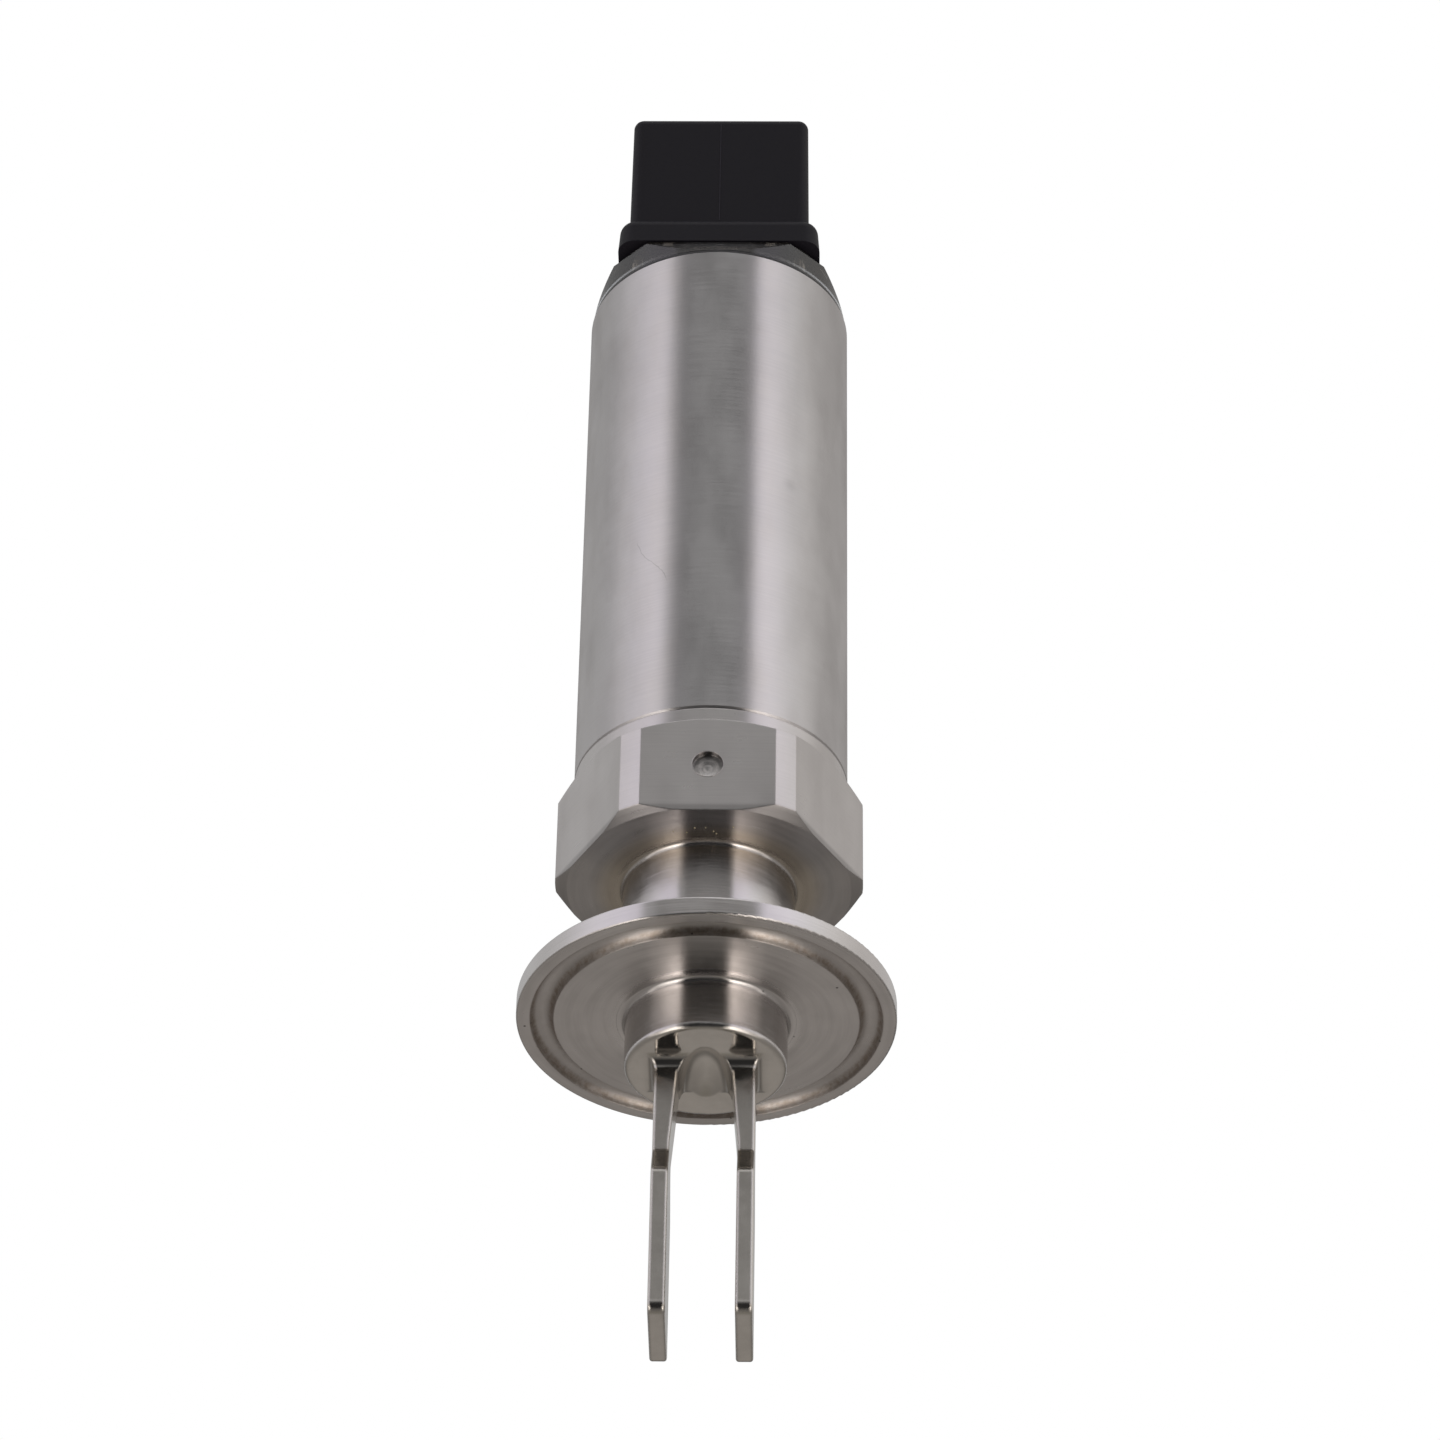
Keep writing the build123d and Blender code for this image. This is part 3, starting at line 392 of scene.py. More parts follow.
def drilled_mark(body, grime):
    """1 inside the drilled mark and 0 around it, and the brightness of its floor, with the
    drill's circles, some grime and painted shade under the lip."""
    away = body.vector("SUBTRACT", body.place, tuple(MARK_CENTRE))
    away_x, away_y, away_z = body.split(away)
    reach = body.length(away_x, 0.0, away_z)
    from_middle = body.apart(away_y, MARK_DEPTH / 2)
    sunk = body.math("LESS_THAN", from_middle, MARK_DEPTH / 2 - 0.02 * MM)
    inside = body.times(sunk, body.math("LESS_THAN", reach, MARK_R))
    cuts = body.noise(body.join(body.times(reach, 3 / MM), 0.0, 0.0), 1.0, 2.0)
    floor = body.plus(
        body.fade(cuts, 0.35, 0.65, 0.90, 1.20), body.fade(grime, 0.35, 0.65, -0.20, 0.25)
    )
    edge = body.plus(reach, body.spread(grime, -0.25 * MM, 0.25 * MM))
    # Painted shade: the floor darkens down to 0.45 under the mark's upper lip
    painted_lip_shade = body.times(
        body.fade(edge, 0.60 * MARK_R, 0.86 * MARK_R),
        body.fade(away_z, -0.55 * MARK_R, 0.35 * MARK_R),
    )
    return inside, body.times(floor, body.between(painted_lip_shade, 1.0, 0.45))


def groove_tarnish_and_shade(body, grime):
    """How much the gasket groove is tarnished, with painted shade making it strongest along its
    walls.
    """
    off_middle = body.apart(body.radius, GROOVE_R)
    groove = body.times(body.fade(off_middle, *GROOVE_EDGE), body.fade(body.z, *GROOVE_TOP))
    # Painted shade: the tarnish deepens along the groove's walls
    wall = body.fade(off_middle, *GROOVE_WALL_SHADE, 0.15, 0.9)
    return body.times(groove, body.times(wall, body.fade(grime, 0.35, 0.65, 0.5, 1.0)))


def tube_steel(steel):
    """The brushed steel of the tube housing, with a scratch and a small worn spot, and a little
    dimmer towards its top."""
    tube = TurnedFinish("brushed_tube_steel", steel, {"Anisotropic": 1.0})
    tube.turn_all_over(steel.tube_colour, steel.tube_roughness, 0.5 * steel.edge_softness)
    spot = (TUBE_R * math.sin(WORN_TURN), -TUBE_R * math.cos(WORN_TURN), WORN_HEIGHT)
    worn = tube.fade(tube.vector("DISTANCE", tube.place, spot), WORN_R, 0.0, 0.0, 0.12)
    dimmer = tube.fade(tube.z, *TUBE_DIMMING, 0.0, 0.07)
    marks = tube.plus(worn, tube_scratch(tube), dimmer)
    tube.tint(tube.grey(tube.minus(1.0, marks)))
    return tube


def tube_scratch(tube):
    """How much darker a fine scratch is, which runs up the tube and leans to the left."""
    wander = tube.between(tube.noise(tube.place, 0.35 / MM, 2.0), -0.03, 0.03)
    path = tube.plus(wander, tube.fade(tube.z, SCRATCH_FOOT, SCRATCH_TOP, *SCRATCH_TURNS))
    aside = tube.apart(tube.azimuth(tube.x, tube.y), path)
    ends = tube.times(
        tube.fade(tube.z, SCRATCH_FOOT - 0.5 * MM, SCRATCH_FOOT + 1.0 * MM),
        tube.fade(tube.z, SCRATCH_TOP + 0.3 * MM, SCRATCH_TOP - 1.5 * MM),
    )
    return tube.times(tube.fade(aside, *SCRATCH_WIDTH, 0.0, 0.22), ends)


def fork_steel(steel):
    """The fork head: turned around the boss, polished on its face and on the tines."""
    fork = TurnedFinish("polished_fork_steel", steel)
    turned = fork.fade(fork.radius, *BOSS_SIDE)
    tone, rough, height = fork.lathe_marks()
    smear = fork.noise(fork.place, 0.4 / MM, 4.0, 0.6)
    stain = fork.noise(fork.place, 0.15 / MM, 5.0, 0.65)
    waves = fork.noise(fork.place, 0.8 / MM, 3.0)
    colours = opaque(steel.fork_colour), opaque(steel.body_colour)
    fork.set("Base Color", fork.blend(turned, *colours))
    polished_tone = fork.fade(stain, 0.35, 0.75, 1.01, 0.88)
    turned_tone = fork.times(tone, fork.pits(0.6))
    fork.tint(fork.grey(fork.between(turned, polished_tone, turned_tone)))
    low, high = steel.fork_roughness - 0.03, steel.fork_roughness + 0.07
    duller_tines = fork.fade(fork.z, *TINE_START, 0.0, 0.06)
    polished = fork.plus(fork.fade(smear, 0.3, 0.75, low, high), duller_tines)
    lathe = fork.plus(rough, steel.body_roughness)
    fork.set("Roughness", fork.between(turned, polished, lathe))
    fork.set("Anisotropic", fork.times(turned, 0.95))
    height = fork.between(turned, fork.times(waves, 1.2), height)
    edge = fork.fade(fork.radius, *SOFT_FORK, 0.0, steel.fork_softness)
    fork.set("Normal", fork.bump(height, steel.line_depth, edge))
    return fork


def screw_steel(steel):
    """Machined steel of the small screws."""
    screw = Finish("screw_steel", {"Metallic": 1.0})
    speckle = screw.noise(screw.place, 3 / MM, 4.0)
    screw.shade(steel.screw_colour, screw.spread(speckle, 0.92, 1.04))
    screw.set("Roughness", screw.spread(speckle, 0.26, 0.40))
    screw.set("Normal", screw.bump(speckle, 0.004 * MM))
    return screw


def black_plastic(plastic, name="moulded_black_plastic", brightness=1.0):
    """Moulded black plastic with a fine grain and some dust, and painted light on faces that look
    down.
    """
    black = Finish(name, {"Specular IOR Level": 0.14})
    grain = black.noise(black.place, 1 / plastic.grain_size, 2.0, 0.6)
    dust = black.noise(black.place, 0.35 / plastic.grain_size, 6.0, 0.75)
    dusty = black.fade(dust, 0.55, 0.85, 0.96 * brightness, 1.3 * brightness)
    # Painted light: faces that look down are made up to three times lighter
    painted_underside_light = black.fade(black.split(black.normal())[2], -0.5, -0.9, 1.0, 3.0)
    black.shade(plastic.black_colour, black.times(dusty, painted_underside_light))
    black.set("Roughness", black.fade(dust, 0.3, 0.8, 0.46, 0.58))
    black.set("Normal", black.bump(grain, 0.006 * MM))
    return black


def clear_plastic(plastic):
    """Smoky clear plastic, darker in its thick corners, with painted shade at its foot and a
    painted highlight along its lower edge that shows towards the sides."""
    cover = Finish("clear_cover_plastic", {"IOR": 1.58})
    flow = cover.noise(cover.vector("MULTIPLY", cover.place, (1.0, 1.0, 3.0)), 0.35 / MM, 3.0)
    x, y, z = cover.split(cover.place)
    radius = cover.length(x, y, 0.0)
    outside = cover.fade(radius, *COVER_SIDE)
    height = cover.minus(z, COVER_FOOT)
    # Painted shade: the foot of the cover is near black where the gap at the gasket lies
    dark = cover.times(cover.fade(height, *PAINTED_FOOT_SHADE), outside)
    # Painted highlight: a pale line on the cover's lower band, rising towards the sides
    line = cover.times(cover.fade(height, *PAINTED_HIGHLIGHT_FOOT), cover.fade(height, *PAINTED_HIGHLIGHT_TOP))
    aside = cover.fade(cover.math("ABSOLUTE", x), *PAINTED_HIGHLIGHT_SIDE, 0.05, 0.75)
    pale = cover.times(line, outside, aside)
    diagonal = cover.math("ABSOLUTE", cover.times(x, y))
    corner = cover.fade(cover.math("DIVIDE", diagonal, cover.times(radius, radius)), 0.20, 0.42)
    colours = opaque(plastic.clear_colour), opaque(plastic.corner_colour)
    smoke = cover.blend(corner, *colours)
    colour = cover.blend(pale, smoke, opaque(plastic.painted_highlight_colour))
    cover.set("Base Color", cover.blend(dark, colour, opaque(plastic.painted_gap_shade_colour)))
    # Where the shade and the highlight are painted, the cover lets less light through
    solid = cover.math("MAXIMUM", dark, pale)
    cover.set("Transmission Weight", cover.math("SUBTRACT", 0.93, solid, clamp=True))
    cover.set("Roughness", cover.fade(flow, 0.3, 0.8, 0.03, 0.09))
    return cover


def seal_rubber(plastic):
    """Soft black rubber."""
    rubber = Finish("seal_rubber", {"Sheen Weight": 0.15})
    skin = rubber.noise(rubber.place, 1.4 / MM, 4.0)
    rubber.shade(plastic.rubber_colour, rubber.spread(skin, 0.8, 1.3))
    rubber.set("Roughness", rubber.spread(skin, 0.55, 0.75))
    rubber.set("Normal", rubber.bump(skin, 0.01 * MM))
    return rubber


def speckled(name, colour, roughness, size, spread, metallic=0.0):
    """A plain finish with a grain of this size, whose tone varies by this much."""
    finish = Finish(name, {"Metallic": metallic})
    grain = finish.noise(finish.place, 1 / size, 4.0)
    finish.shade(colour, finish.spread(grain, 1 - spread, 1 + spread))
    finish.set("Roughness", finish.spread(grain, roughness - 0.06, roughness + 0.06))
    finish.set("Normal", finish.bump(grain, size * 0.02))
    return finish


def board_lacquer(inside):
    """Green solder lacquer with the copper tracks showing lighter under it."""
    board = Finish("board_lacquer", {"Coat Weight": 0.4})
    x, y, z = board.split(board.place)
    rows = board.math("PINGPONG", board.plus(x, y, z), 0.6 * MM)
    cells = board.cells(4 * MM, "CHEBYCHEV")
    tracks = board.times(board.fade(rows, 0.36 * MM, 0.4 * MM), board.fade(cells, 0.5, 0.55))
    colours = opaque(inside.board_colour), opaque(inside.track_colour)
    board.set("Base Color", board.blend(tracks, *colours))
    board.set("Roughness", board.between(tracks, 0.30, 0.38))
    board.set("Normal", board.bump(tracks, 0.03 * MM))
    return board


def wire_insulation(inside):
    """Red insulation on the leads to one side of the axis and blue on the others."""
    wire = Finish("wire_insulation", {"Roughness": 0.45})
    x, y, _ = wire.split(wire.place)
    side = wire.math("GREATER_THAN", wire.plus(x, y), 0.0)
    colours = opaque(inside.blue_wire_colour), opaque(inside.red_wire_colour)
    wire.set("Base Color", wire.blend(side, *colours))
    wire.set("Normal", wire.bump(wire.noise(wire.place, 2 / MM), 0.01 * MM))
    return wire


def lamp_lens(inside):
    """The half clear plastic of the status lamps."""
    values = {"Transmission Weight": 0.4, "IOR": 1.5, "Base Color": opaque(inside.lens_colour)}
    lens = Finish("lamp_lens", values)
    lens.set("Roughness", lens.spread(lens.noise(lens.place, 1 / MM), 0.05, 0.2))
    return lens


def paint(finish, *nodes):
    """Gives nodes of the frame their finish."""
    for node in nodes:
        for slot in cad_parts[node].material_slots:
            slot.material = finish.material


def paint_speckled(inside, table):
    """Gives the nodes in a table of speckled finishes their finish."""
    for name, colour, roughness, size, spread, metallic, nodes in table:
        finish = speckled(name, getattr(inside, colour), roughness, size, spread, metallic)
        paint(finish, *nodes)


def geometry_tree(name, sizes):
    """A geometry node group with a named input for each size, with its graph and those inputs."""
    group = bpy.data.node_groups.new(name, "GeometryNodeTree")
    group.is_modifier = True
    sockets = group.interface
    sockets.new_socket("Geometry", in_out="OUTPUT", socket_type="NodeSocketGeometry")
    for label, value in sizes.items():
        kind = "NodeSocketInt" if isinstance(value, int) else "NodeSocketFloat"
        sockets.new_socket(label, in_out="INPUT", socket_type=kind)
    graph = Graph(group)
    return group, graph, graph.add("NodeGroupInput").outputs


def close_tree(graph, shape, material):
    """Ends a tree: its instances are made real and get their material."""
    real = graph.add("GeometryNodeRealizeInstances", {"Geometry": shape}).outputs["Geometry"]
    inputs = {"Geometry": real, "Material": material}
    dressed = graph.add("GeometryNodeSetMaterial", inputs).outputs["Geometry"]
    graph.add("NodeGroupOutput", {"Geometry": dressed})


def bead(graph, path, radius, sides):
    """A bead of this radius and with this many sides along a path."""
    circle = {"Resolution": sides, "Radius": radius}
    profile = graph.add("GeometryNodeCurvePrimitiveCircle", circle).outputs["Curve"]
    inputs = {"Curve": path, "Profile Curve": profile, "Fill Caps": True}
    return graph.add("GeometryNodeCurveToMesh", inputs).outputs["Mesh"]


def uneven_path(graph, path, scale, detail, thinnest):
    """A path whose bead grows thinner in places, down to this share of its radius."""
    place = graph.add("GeometryNodeInputPosition").outputs["Position"]
    thickness = graph.spread(graph.noise(place, scale, detail), thinnest, 1.0)
    inputs = {"Curve": path, "Radius": thickness}
    return graph.add("GeometryNodeSetCurveRadius", inputs).outputs["Curve"]


def thread_tree(material, sizes):
    """Thread turns about the vertical axis, each a ridge that stands half out of the neck."""
    group, graph, size = geometry_tree("gland_thread", sizes)
    spiral = {
        "Resolution": size["Steps per turn"],
        "Rotations": size["Turns"],
        "Start Radius": size["Radius"],
        "End Radius": size["Radius"],
        "Height": size["Length"],
    }
    path = graph.add("GeometryNodeCurveSpiral", spiral).outputs["Curve"]
    close_tree(graph, bead(graph, path, size["Depth"], 4), material)
    return group


def seam_tree(material, sizes):
    """A thin, slightly uneven mould seam that runs up and leans with the side of the plug."""
    group, graph, size = geometry_tree("mould_seam", sizes)
    ends = {"Start": (0, 0, 0), "End": graph.join(0.0, size["Lean"], size["Height"])}
    line = graph.add("GeometryNodeCurvePrimitiveLine", ends).outputs["Curve"]
    steps = {"Curve": line, "Count": size["Steps"]}
    path = graph.add("GeometryNodeResampleCurve", steps).outputs["Curve"]
    path = uneven_path(graph, path, 0.7 / MM, 2.0, 0.35)
    close_tree(graph, bead(graph, path, size["Depth"], 6), material)
    return group


def burr_tree(material, sizes):
    """The thin ragged burr around the drilled mark."""
    group, graph, size = geometry_tree("mark_burr", sizes)
    circle = {"Resolution": RING_STEPS, "Radius": size["Radius"]}
    ring = graph.add("GeometryNodeCurvePrimitiveCircle", circle).outputs["Curve"]
    path = uneven_path(graph, ring, 1.6 / MM, 3.0, 0.2)
    close_tree(graph, bead(graph, path, size["Depth"], 6), material)
    return group


def dust_tree(material, sizes):
    """A few round grains of different sizes, scattered over a patch."""
    group, graph, size = geometry_tree("dust", sizes)
    area = {"Size X": size["Width"], "Size Y": size["Depth"]}
    patch = graph.add("GeometryNodeMeshGrid", area).outputs["Mesh"]
    scatter = {"Mesh": patch, "Density": size["Density"], "Seed": size["Seed"]}
    points = graph.add("GeometryNodeDistributePointsOnFaces", scatter).outputs["Points"]
    ball = {"Radius": size["Grain"], "Subdivisions": 2}
    grain = graph.add("GeometryNodeMeshIcoSphere", ball).outputs["Mesh"]
    limits = {2: 0.4, 3: 1.3, "Seed": size["Seed"]}
    scale = graph.add("FunctionNodeRandomValue", limits).outputs[1]
    placing = {"Points": points, "Instance": grain, "Scale": scale}
    grains = graph.add("GeometryNodeInstanceOnPoints", placing).outputs["Instances"]
    close_tree(graph, grains, material)
    return group


def grow(name, tree, material, sizes, move):
    """A plain mesh piece that the tree makes at these sizes, moved to its place and riding on
    the body."""
    piece = bpy.data.objects.new(name, bpy.data.meshes.new(name))
    bpy.context.scene.collection.objects.link(piece)
    modifier = piece.modifiers.new("shape", "NODES")
    modifier.node_group = tree(material, sizes)
    for item in modifier.node_group.interface.items_tree:
        if item.in_out == "INPUT":
            modifier[item.identifier] = sizes[item.name]
    shaped = piece.evaluated_get(bpy.context.evaluated_depsgraph_get())
    mesh = bpy.data.meshes.new_from_object(shaped)
    piece.modifiers.clear()
    piece.data = mesh
    mesh.transform(move)
    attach(piece, "root")


class SteelSettings(bpy.types.PropertyGroup):
    """Colours and grain of the steel parts."""

    body_colour: FloatVectorProperty(
        name="Body steel", description="Colour of the turned body",
        default=(0.605, 0.580, 0.570), subtype="COLOR", size=3, min=0, max=1,
    )
    tube_colour: FloatVectorProperty(
        name="Tube steel", description="Colour of the brushed tube",
        default=(0.620, 0.604, 0.604), subtype="COLOR", size=3, min=0, max=1,
    )
    fork_colour: FloatVectorProperty(
        name="Fork steel", description="Colour of the polished fork",
        default=(0.618, 0.588, 0.552), subtype="COLOR", size=3, min=0, max=1,
    )
    screw_colour: FloatVectorProperty(
        name="Screw steel", description="Colour of the small screws",
        default=(0.62, 0.62, 0.62), subtype="COLOR", size=3, min=0, max=1,
    )
    # The tarnish colour also carries the painted shade along the groove's walls
    tarnish_colour: FloatVectorProperty(
        name="Tarnish", description="Tint of the tarnish in the gasket groove",
        default=(0.56, 0.49, 0.42), subtype="COLOR", size=3, min=0, max=1,
    )
    # The corner colour is a painted warm reflection in the painted shade under the hexagon
    corner_colour: FloatVectorProperty(
        name="Corner", description="Tint of the corner under the hexagon, beside the neck",
        default=(1.0, 0.93, 0.80), subtype="COLOR", size=3, min=0, max=1,
    )
    body_roughness: FloatProperty(
        name="Body roughness", description="Roughness of the turned body",
        default=0.32, subtype="FACTOR", min=0, max=1,
    )
    tube_roughness: FloatProperty(
        name="Tube roughness", description="Roughness of the brushed tube",
        default=0.37, subtype="FACTOR", min=0, max=1,
    )
    fork_roughness: FloatProperty(
        name="Fork roughness", description="Roughness of the polished fork",
        default=0.12, subtype="FACTOR", min=0, max=1,
    )
    finer_by: FloatProperty(
        name="Finer by", description="How much smoother the neck, the boss and the rim are",
        default=0.15, subtype="FACTOR", min=0, max=1,
    )
    line_pitch: FloatProperty(
        name="Line pitch", description="Width of the lathe lines between the fine and the broad",
        default=0.00028, unit="LENGTH", min=0.00001, max=0.01,
    )
    line_depth: FloatProperty(
        name="Line depth", description="Depth of the lathe lines",
        default=0.000004, unit="LENGTH", min=0, max=0.001,
    )
    edge_softness: FloatProperty(
        name="Edge softness", description="Radius by which the edges of the body are softened",
        default=0.00025, unit="LENGTH", min=0, max=0.01,
    )
    fork_softness: FloatProperty(
        name="Fork softness", description="Radius by which the edges of the fork are softened",
        default=0.0004, unit="LENGTH", min=0, max=0.01,
    )
    cloud_size: FloatProperty(
        name="Cloud size", description="Size of the soft changes of tone",
        default=0.012, unit="LENGTH", min=0.0001, max=0.1,
    )


class PlasticSettings(bpy.types.PropertyGroup):
    """Colours and grain of the plastic and rubber parts."""

    black_colour: FloatVectorProperty(
        name="Black plastic", description="Colour of the cable plug",
        default=(0.0078, 0.0071, 0.0098), subtype="COLOR", size=3, min=0, max=1,
    )
    clear_colour: FloatVectorProperty(
        name="Clear plastic", description="Tint of the clear cover",
        default=(0.36, 0.35, 0.35), subtype="COLOR", size=3, min=0, max=1,
    )
    corner_colour: FloatVectorProperty(
        name="Thick corners", description="Tint of the clear cover in its thick corners",
        default=(0.12, 0.105, 0.09), subtype="COLOR", size=3, min=0, max=1,
    )
    # A painted highlight along the lower edge of the clear cover
    painted_highlight_colour: FloatVectorProperty(
        name="Pale edge", description="Colour of the pale lower edge of the clear cover",
        default=(0.50, 0.54, 0.58), subtype="COLOR", size=3, min=0, max=1,
    )
    # Painted shade at the gap between the tube and the cover
    painted_gap_shade_colour: FloatVectorProperty(
        name="Dark foot", description="Colour of the dark line at the foot of the clear cover",
        default=(0.008, 0.008, 0.009), subtype="COLOR", size=3, min=0, max=1,
    )
    rubber_colour: FloatVectorProperty(
        name="Rubber", description="Colour of the seals",
        default=(0.016, 0.016, 0.017), subtype="COLOR", size=3, min=0, max=1,
    )
    grain_size: FloatProperty(
        name="Grain size", description="Size of the grain on the black plastic",
        default=0.00022, unit="LENGTH", min=0.00001, max=0.01,
    )


class InsideSettings(bpy.types.PropertyGroup):
    """Colours of the small parts inside."""

    board_colour: FloatVectorProperty(
        name="Board", description="Colour of the boards between their tracks",
        default=(0.012, 0.085, 0.035), subtype="COLOR", size=3, min=0, max=1,
    )
    track_colour: FloatVectorProperty(
        name="Tracks", description="Colour of the boards over their tracks",
        default=(0.03, 0.17, 0.06), subtype="COLOR", size=3, min=0, max=1,
    )
    carrier_colour: FloatVectorProperty(
        name="Carrier", description="Colour of the plastic that carries the main board",
        default=(0.70, 0.68, 0.62), subtype="COLOR", size=3, min=0, max=1,
    )
    epoxy_colour: FloatVectorProperty(
        name="Epoxy", description="Colour of the chips and headers",
        default=(0.022, 0.022, 0.024), subtype="COLOR", size=3, min=0, max=1,
    )
    can_colour: FloatVectorProperty(
        name="Cans", description="Colour of the capacitors",
        default=(0.72, 0.73, 0.75), subtype="COLOR", size=3, min=0, max=1,
    )
    core_colour: FloatVectorProperty(
        name="Core", description="Colour of the wound choke coil",
        default=(0.09, 0.07, 0.06), subtype="COLOR", size=3, min=0, max=1,
    )
    tinned_colour: FloatVectorProperty(
        name="Tinned brass", description="Colour of the contacts and foils",
        default=(0.70, 0.66, 0.55), subtype="COLOR", size=3, min=0, max=1,
    )
    brass_colour: FloatVectorProperty(
        name="Brass", description="Colour of the thread insert",
        default=(0.80, 0.58, 0.28), subtype="COLOR", size=3, min=0, max=1,
    )
    red_wire_colour: FloatVectorProperty(
        name="Red leads", description="Colour of the leads to the right and the back",
        default=(0.42, 0.02, 0.015), subtype="COLOR", size=3, min=0, max=1,
    )
    blue_wire_colour: FloatVectorProperty(
        name="Blue leads", description="Colour of the leads to the left and the front",
        default=(0.02, 0.05, 0.35), subtype="COLOR", size=3, min=0, max=1,
    )
    lens_colour: FloatVectorProperty(
        name="Lamps", description="Colour of the status lamps",
        default=(0.20, 0.20, 0.14), subtype="COLOR", size=3, min=0, max=1,
    )
    piezo_colour: FloatVectorProperty(
        name="Piezo ceramic", description="Colour of the discs that drive the fork",
        default=(0.52, 0.44, 0.33), subtype="COLOR", size=3, min=0, max=1,
    )
    ceramic_colour: FloatVectorProperty(
        name="White ceramic", description="Colour of the insulating washers",
        default=(0.86, 0.85, 0.80), subtype="COLOR", size=3, min=0, max=1,
    )


class FittingSettings(bpy.types.PropertyGroup):
    """Sizes of the fine fittings."""

    thread_pitch: FloatProperty(
        name="Thread pitch", description="Pitch of the cable gland's thread",
        default=0.0007, unit="LENGTH", min=0.0001, max=0.01,
    )
    thread_depth: FloatProperty(
        name="Thread depth", description="Height of the ridge of the gland's thread",
        default=0.00028, unit="LENGTH", min=0.0001, max=0.01,
    )
    thread_radius: FloatProperty(
        name="Thread radius", description="Radius of the neck that carries the thread",
        default=0.0086, unit="LENGTH", min=0.001, max=0.1,
    )
    thread_length: FloatProperty(
        name="Thread length", description="Length of thread between the plug and the nut",
        default=0.0014, unit="LENGTH", min=0.0001, max=0.1,
    )
    seam_start: FloatProperty(
        name="Seam start", description="Height at which the mould seam starts",
        default=0.1318, unit="LENGTH",
    )
    seam_end: FloatProperty(
        name="Seam end", description="How far below the top of the plug the seam ends",
        default=0.0016, unit="LENGTH", min=0, max=0.1,
    )
    seam_depth: FloatProperty(
        name="Seam depth", description="How far the mould seam stands out",
        default=0.00004, unit="LENGTH", min=0.000001, max=0.001,
    )
    plug_side: FloatProperty(
        name="Plug side", description="Side of the plug above its skirt",
        default=0.0262, unit="LENGTH", min=0.001, max=0.1,
    )
    plug_draft: FloatProperty(
        name="Plug draft", description="Lean of the sides of the plug",
        default=math.radians(0.45), subtype="ANGLE",
    )
    skirt_height: FloatProperty(
        name="Skirt height", description="Height of the skirt of the plug",
        default=0.0049, unit="LENGTH", min=0, max=0.1,
    )
    burr_depth: FloatProperty(
        name="Burr", description="Height of the burr around the mark",
        default=0.00005, unit="LENGTH", min=0.000001, max=0.001,
    )
    dust_colour: FloatVectorProperty(
        name="Dust", description="Colour of the dust under the hexagon",
        default=(0.62, 0.55, 0.36), subtype="COLOR", size=3, min=0, max=1,
    )
    dust_density: FloatProperty(
        name="Dust density", description="Grains of dust in a square metre",
        default=260000, min=0,
    )
    dust_size: FloatProperty(
        name="Dust size", description="Radius of a grain of dust",
        default=0.00010, unit="LENGTH", min=0.000001, max=0.001,
    )


class StudioSettings(bpy.types.PropertyGroup):
    """The camera, the light and the floor."""

    camera_place: FloatVectorProperty(
        name="Camera place", description="Where the camera stands",
        default=(0.013985, -0.567366, -0.378450), subtype="TRANSLATION", size=3,
    )
    camera_heading: FloatProperty(
        name="Heading", description="Turn of the camera about the vertical, to the left",
        default=math.radians(1.302), subtype="ANGLE",
    )
    camera_pitch: FloatProperty(
        name="Pitch", description="Angle at which the camera looks up",
        default=math.radians(37.070), subtype="ANGLE",
    )
    camera_roll: FloatProperty(
        name="Roll", description="Tilt of the camera about its own line of sight",
        default=math.radians(1.010), subtype="ANGLE",
    )
    camera_lens: FloatProperty(
        name="Lens", description="Focal length in millimetres on a 36 mm sensor",
        default=128.552, unit="CAMERA", min=1,
    )
    floor_drop: FloatProperty(
        name="Floor drop", description="How far below the ferrule's face the floor lies",
        default=0.9, unit="LENGTH", min=0.1,
    )
    floor_colour: FloatVectorProperty(
        name="Floor", description="Colour of the floor",
        default=(0.62, 0.58, 0.53), subtype="COLOR", size=3, min=0, max=1,
    )
    lamp_power: FloatProperty(
        name="Lamp power", description="Power of each soft lamp",
        default=9.0, unit="POWER", min=0,
    )
    lamp_size: FloatVectorProperty(
        name="Lamp size", description="Width and height of each soft lamp",
        default=(1.0, 1.4), unit="LENGTH", size=2, min=0.01,
    )
    lamp_place: FloatVectorProperty(
        name="Lamp place", description="Where the right lamp stands, with the left its mirror",
        default=(1.3, -0.9, 0.9), subtype="TRANSLATION", size=3,
    )


class LEVELSWITCH_OT_body(bpy.types.Operator):
    """Finishes the ferrule, neck and hexagon."""

    bl_idname = "level_switch.body"
    bl_label = "Process body"

    def execute(self, context):
        paint(body_steel(context.scene.switch_steel), "process_body")
        return {"FINISHED"}


class LEVELSWITCH_OT_fork(bpy.types.Operator):
    """Finishes the fork head."""

    bl_idname = "level_switch.fork"
    bl_label = "Fork head"

    def execute(self, context):
        paint(fork_steel(context.scene.switch_steel), "fork_head")
        return {"FINISHED"}


class LEVELSWITCH_OT_tube(bpy.types.Operator):
    """Finishes the tube housing."""

    bl_idname = "level_switch.tube"
    bl_label = "Tube housing"

    def execute(self, context):
        paint(tube_steel(context.scene.switch_steel), "housing_tube")
        return {"FINISHED"}


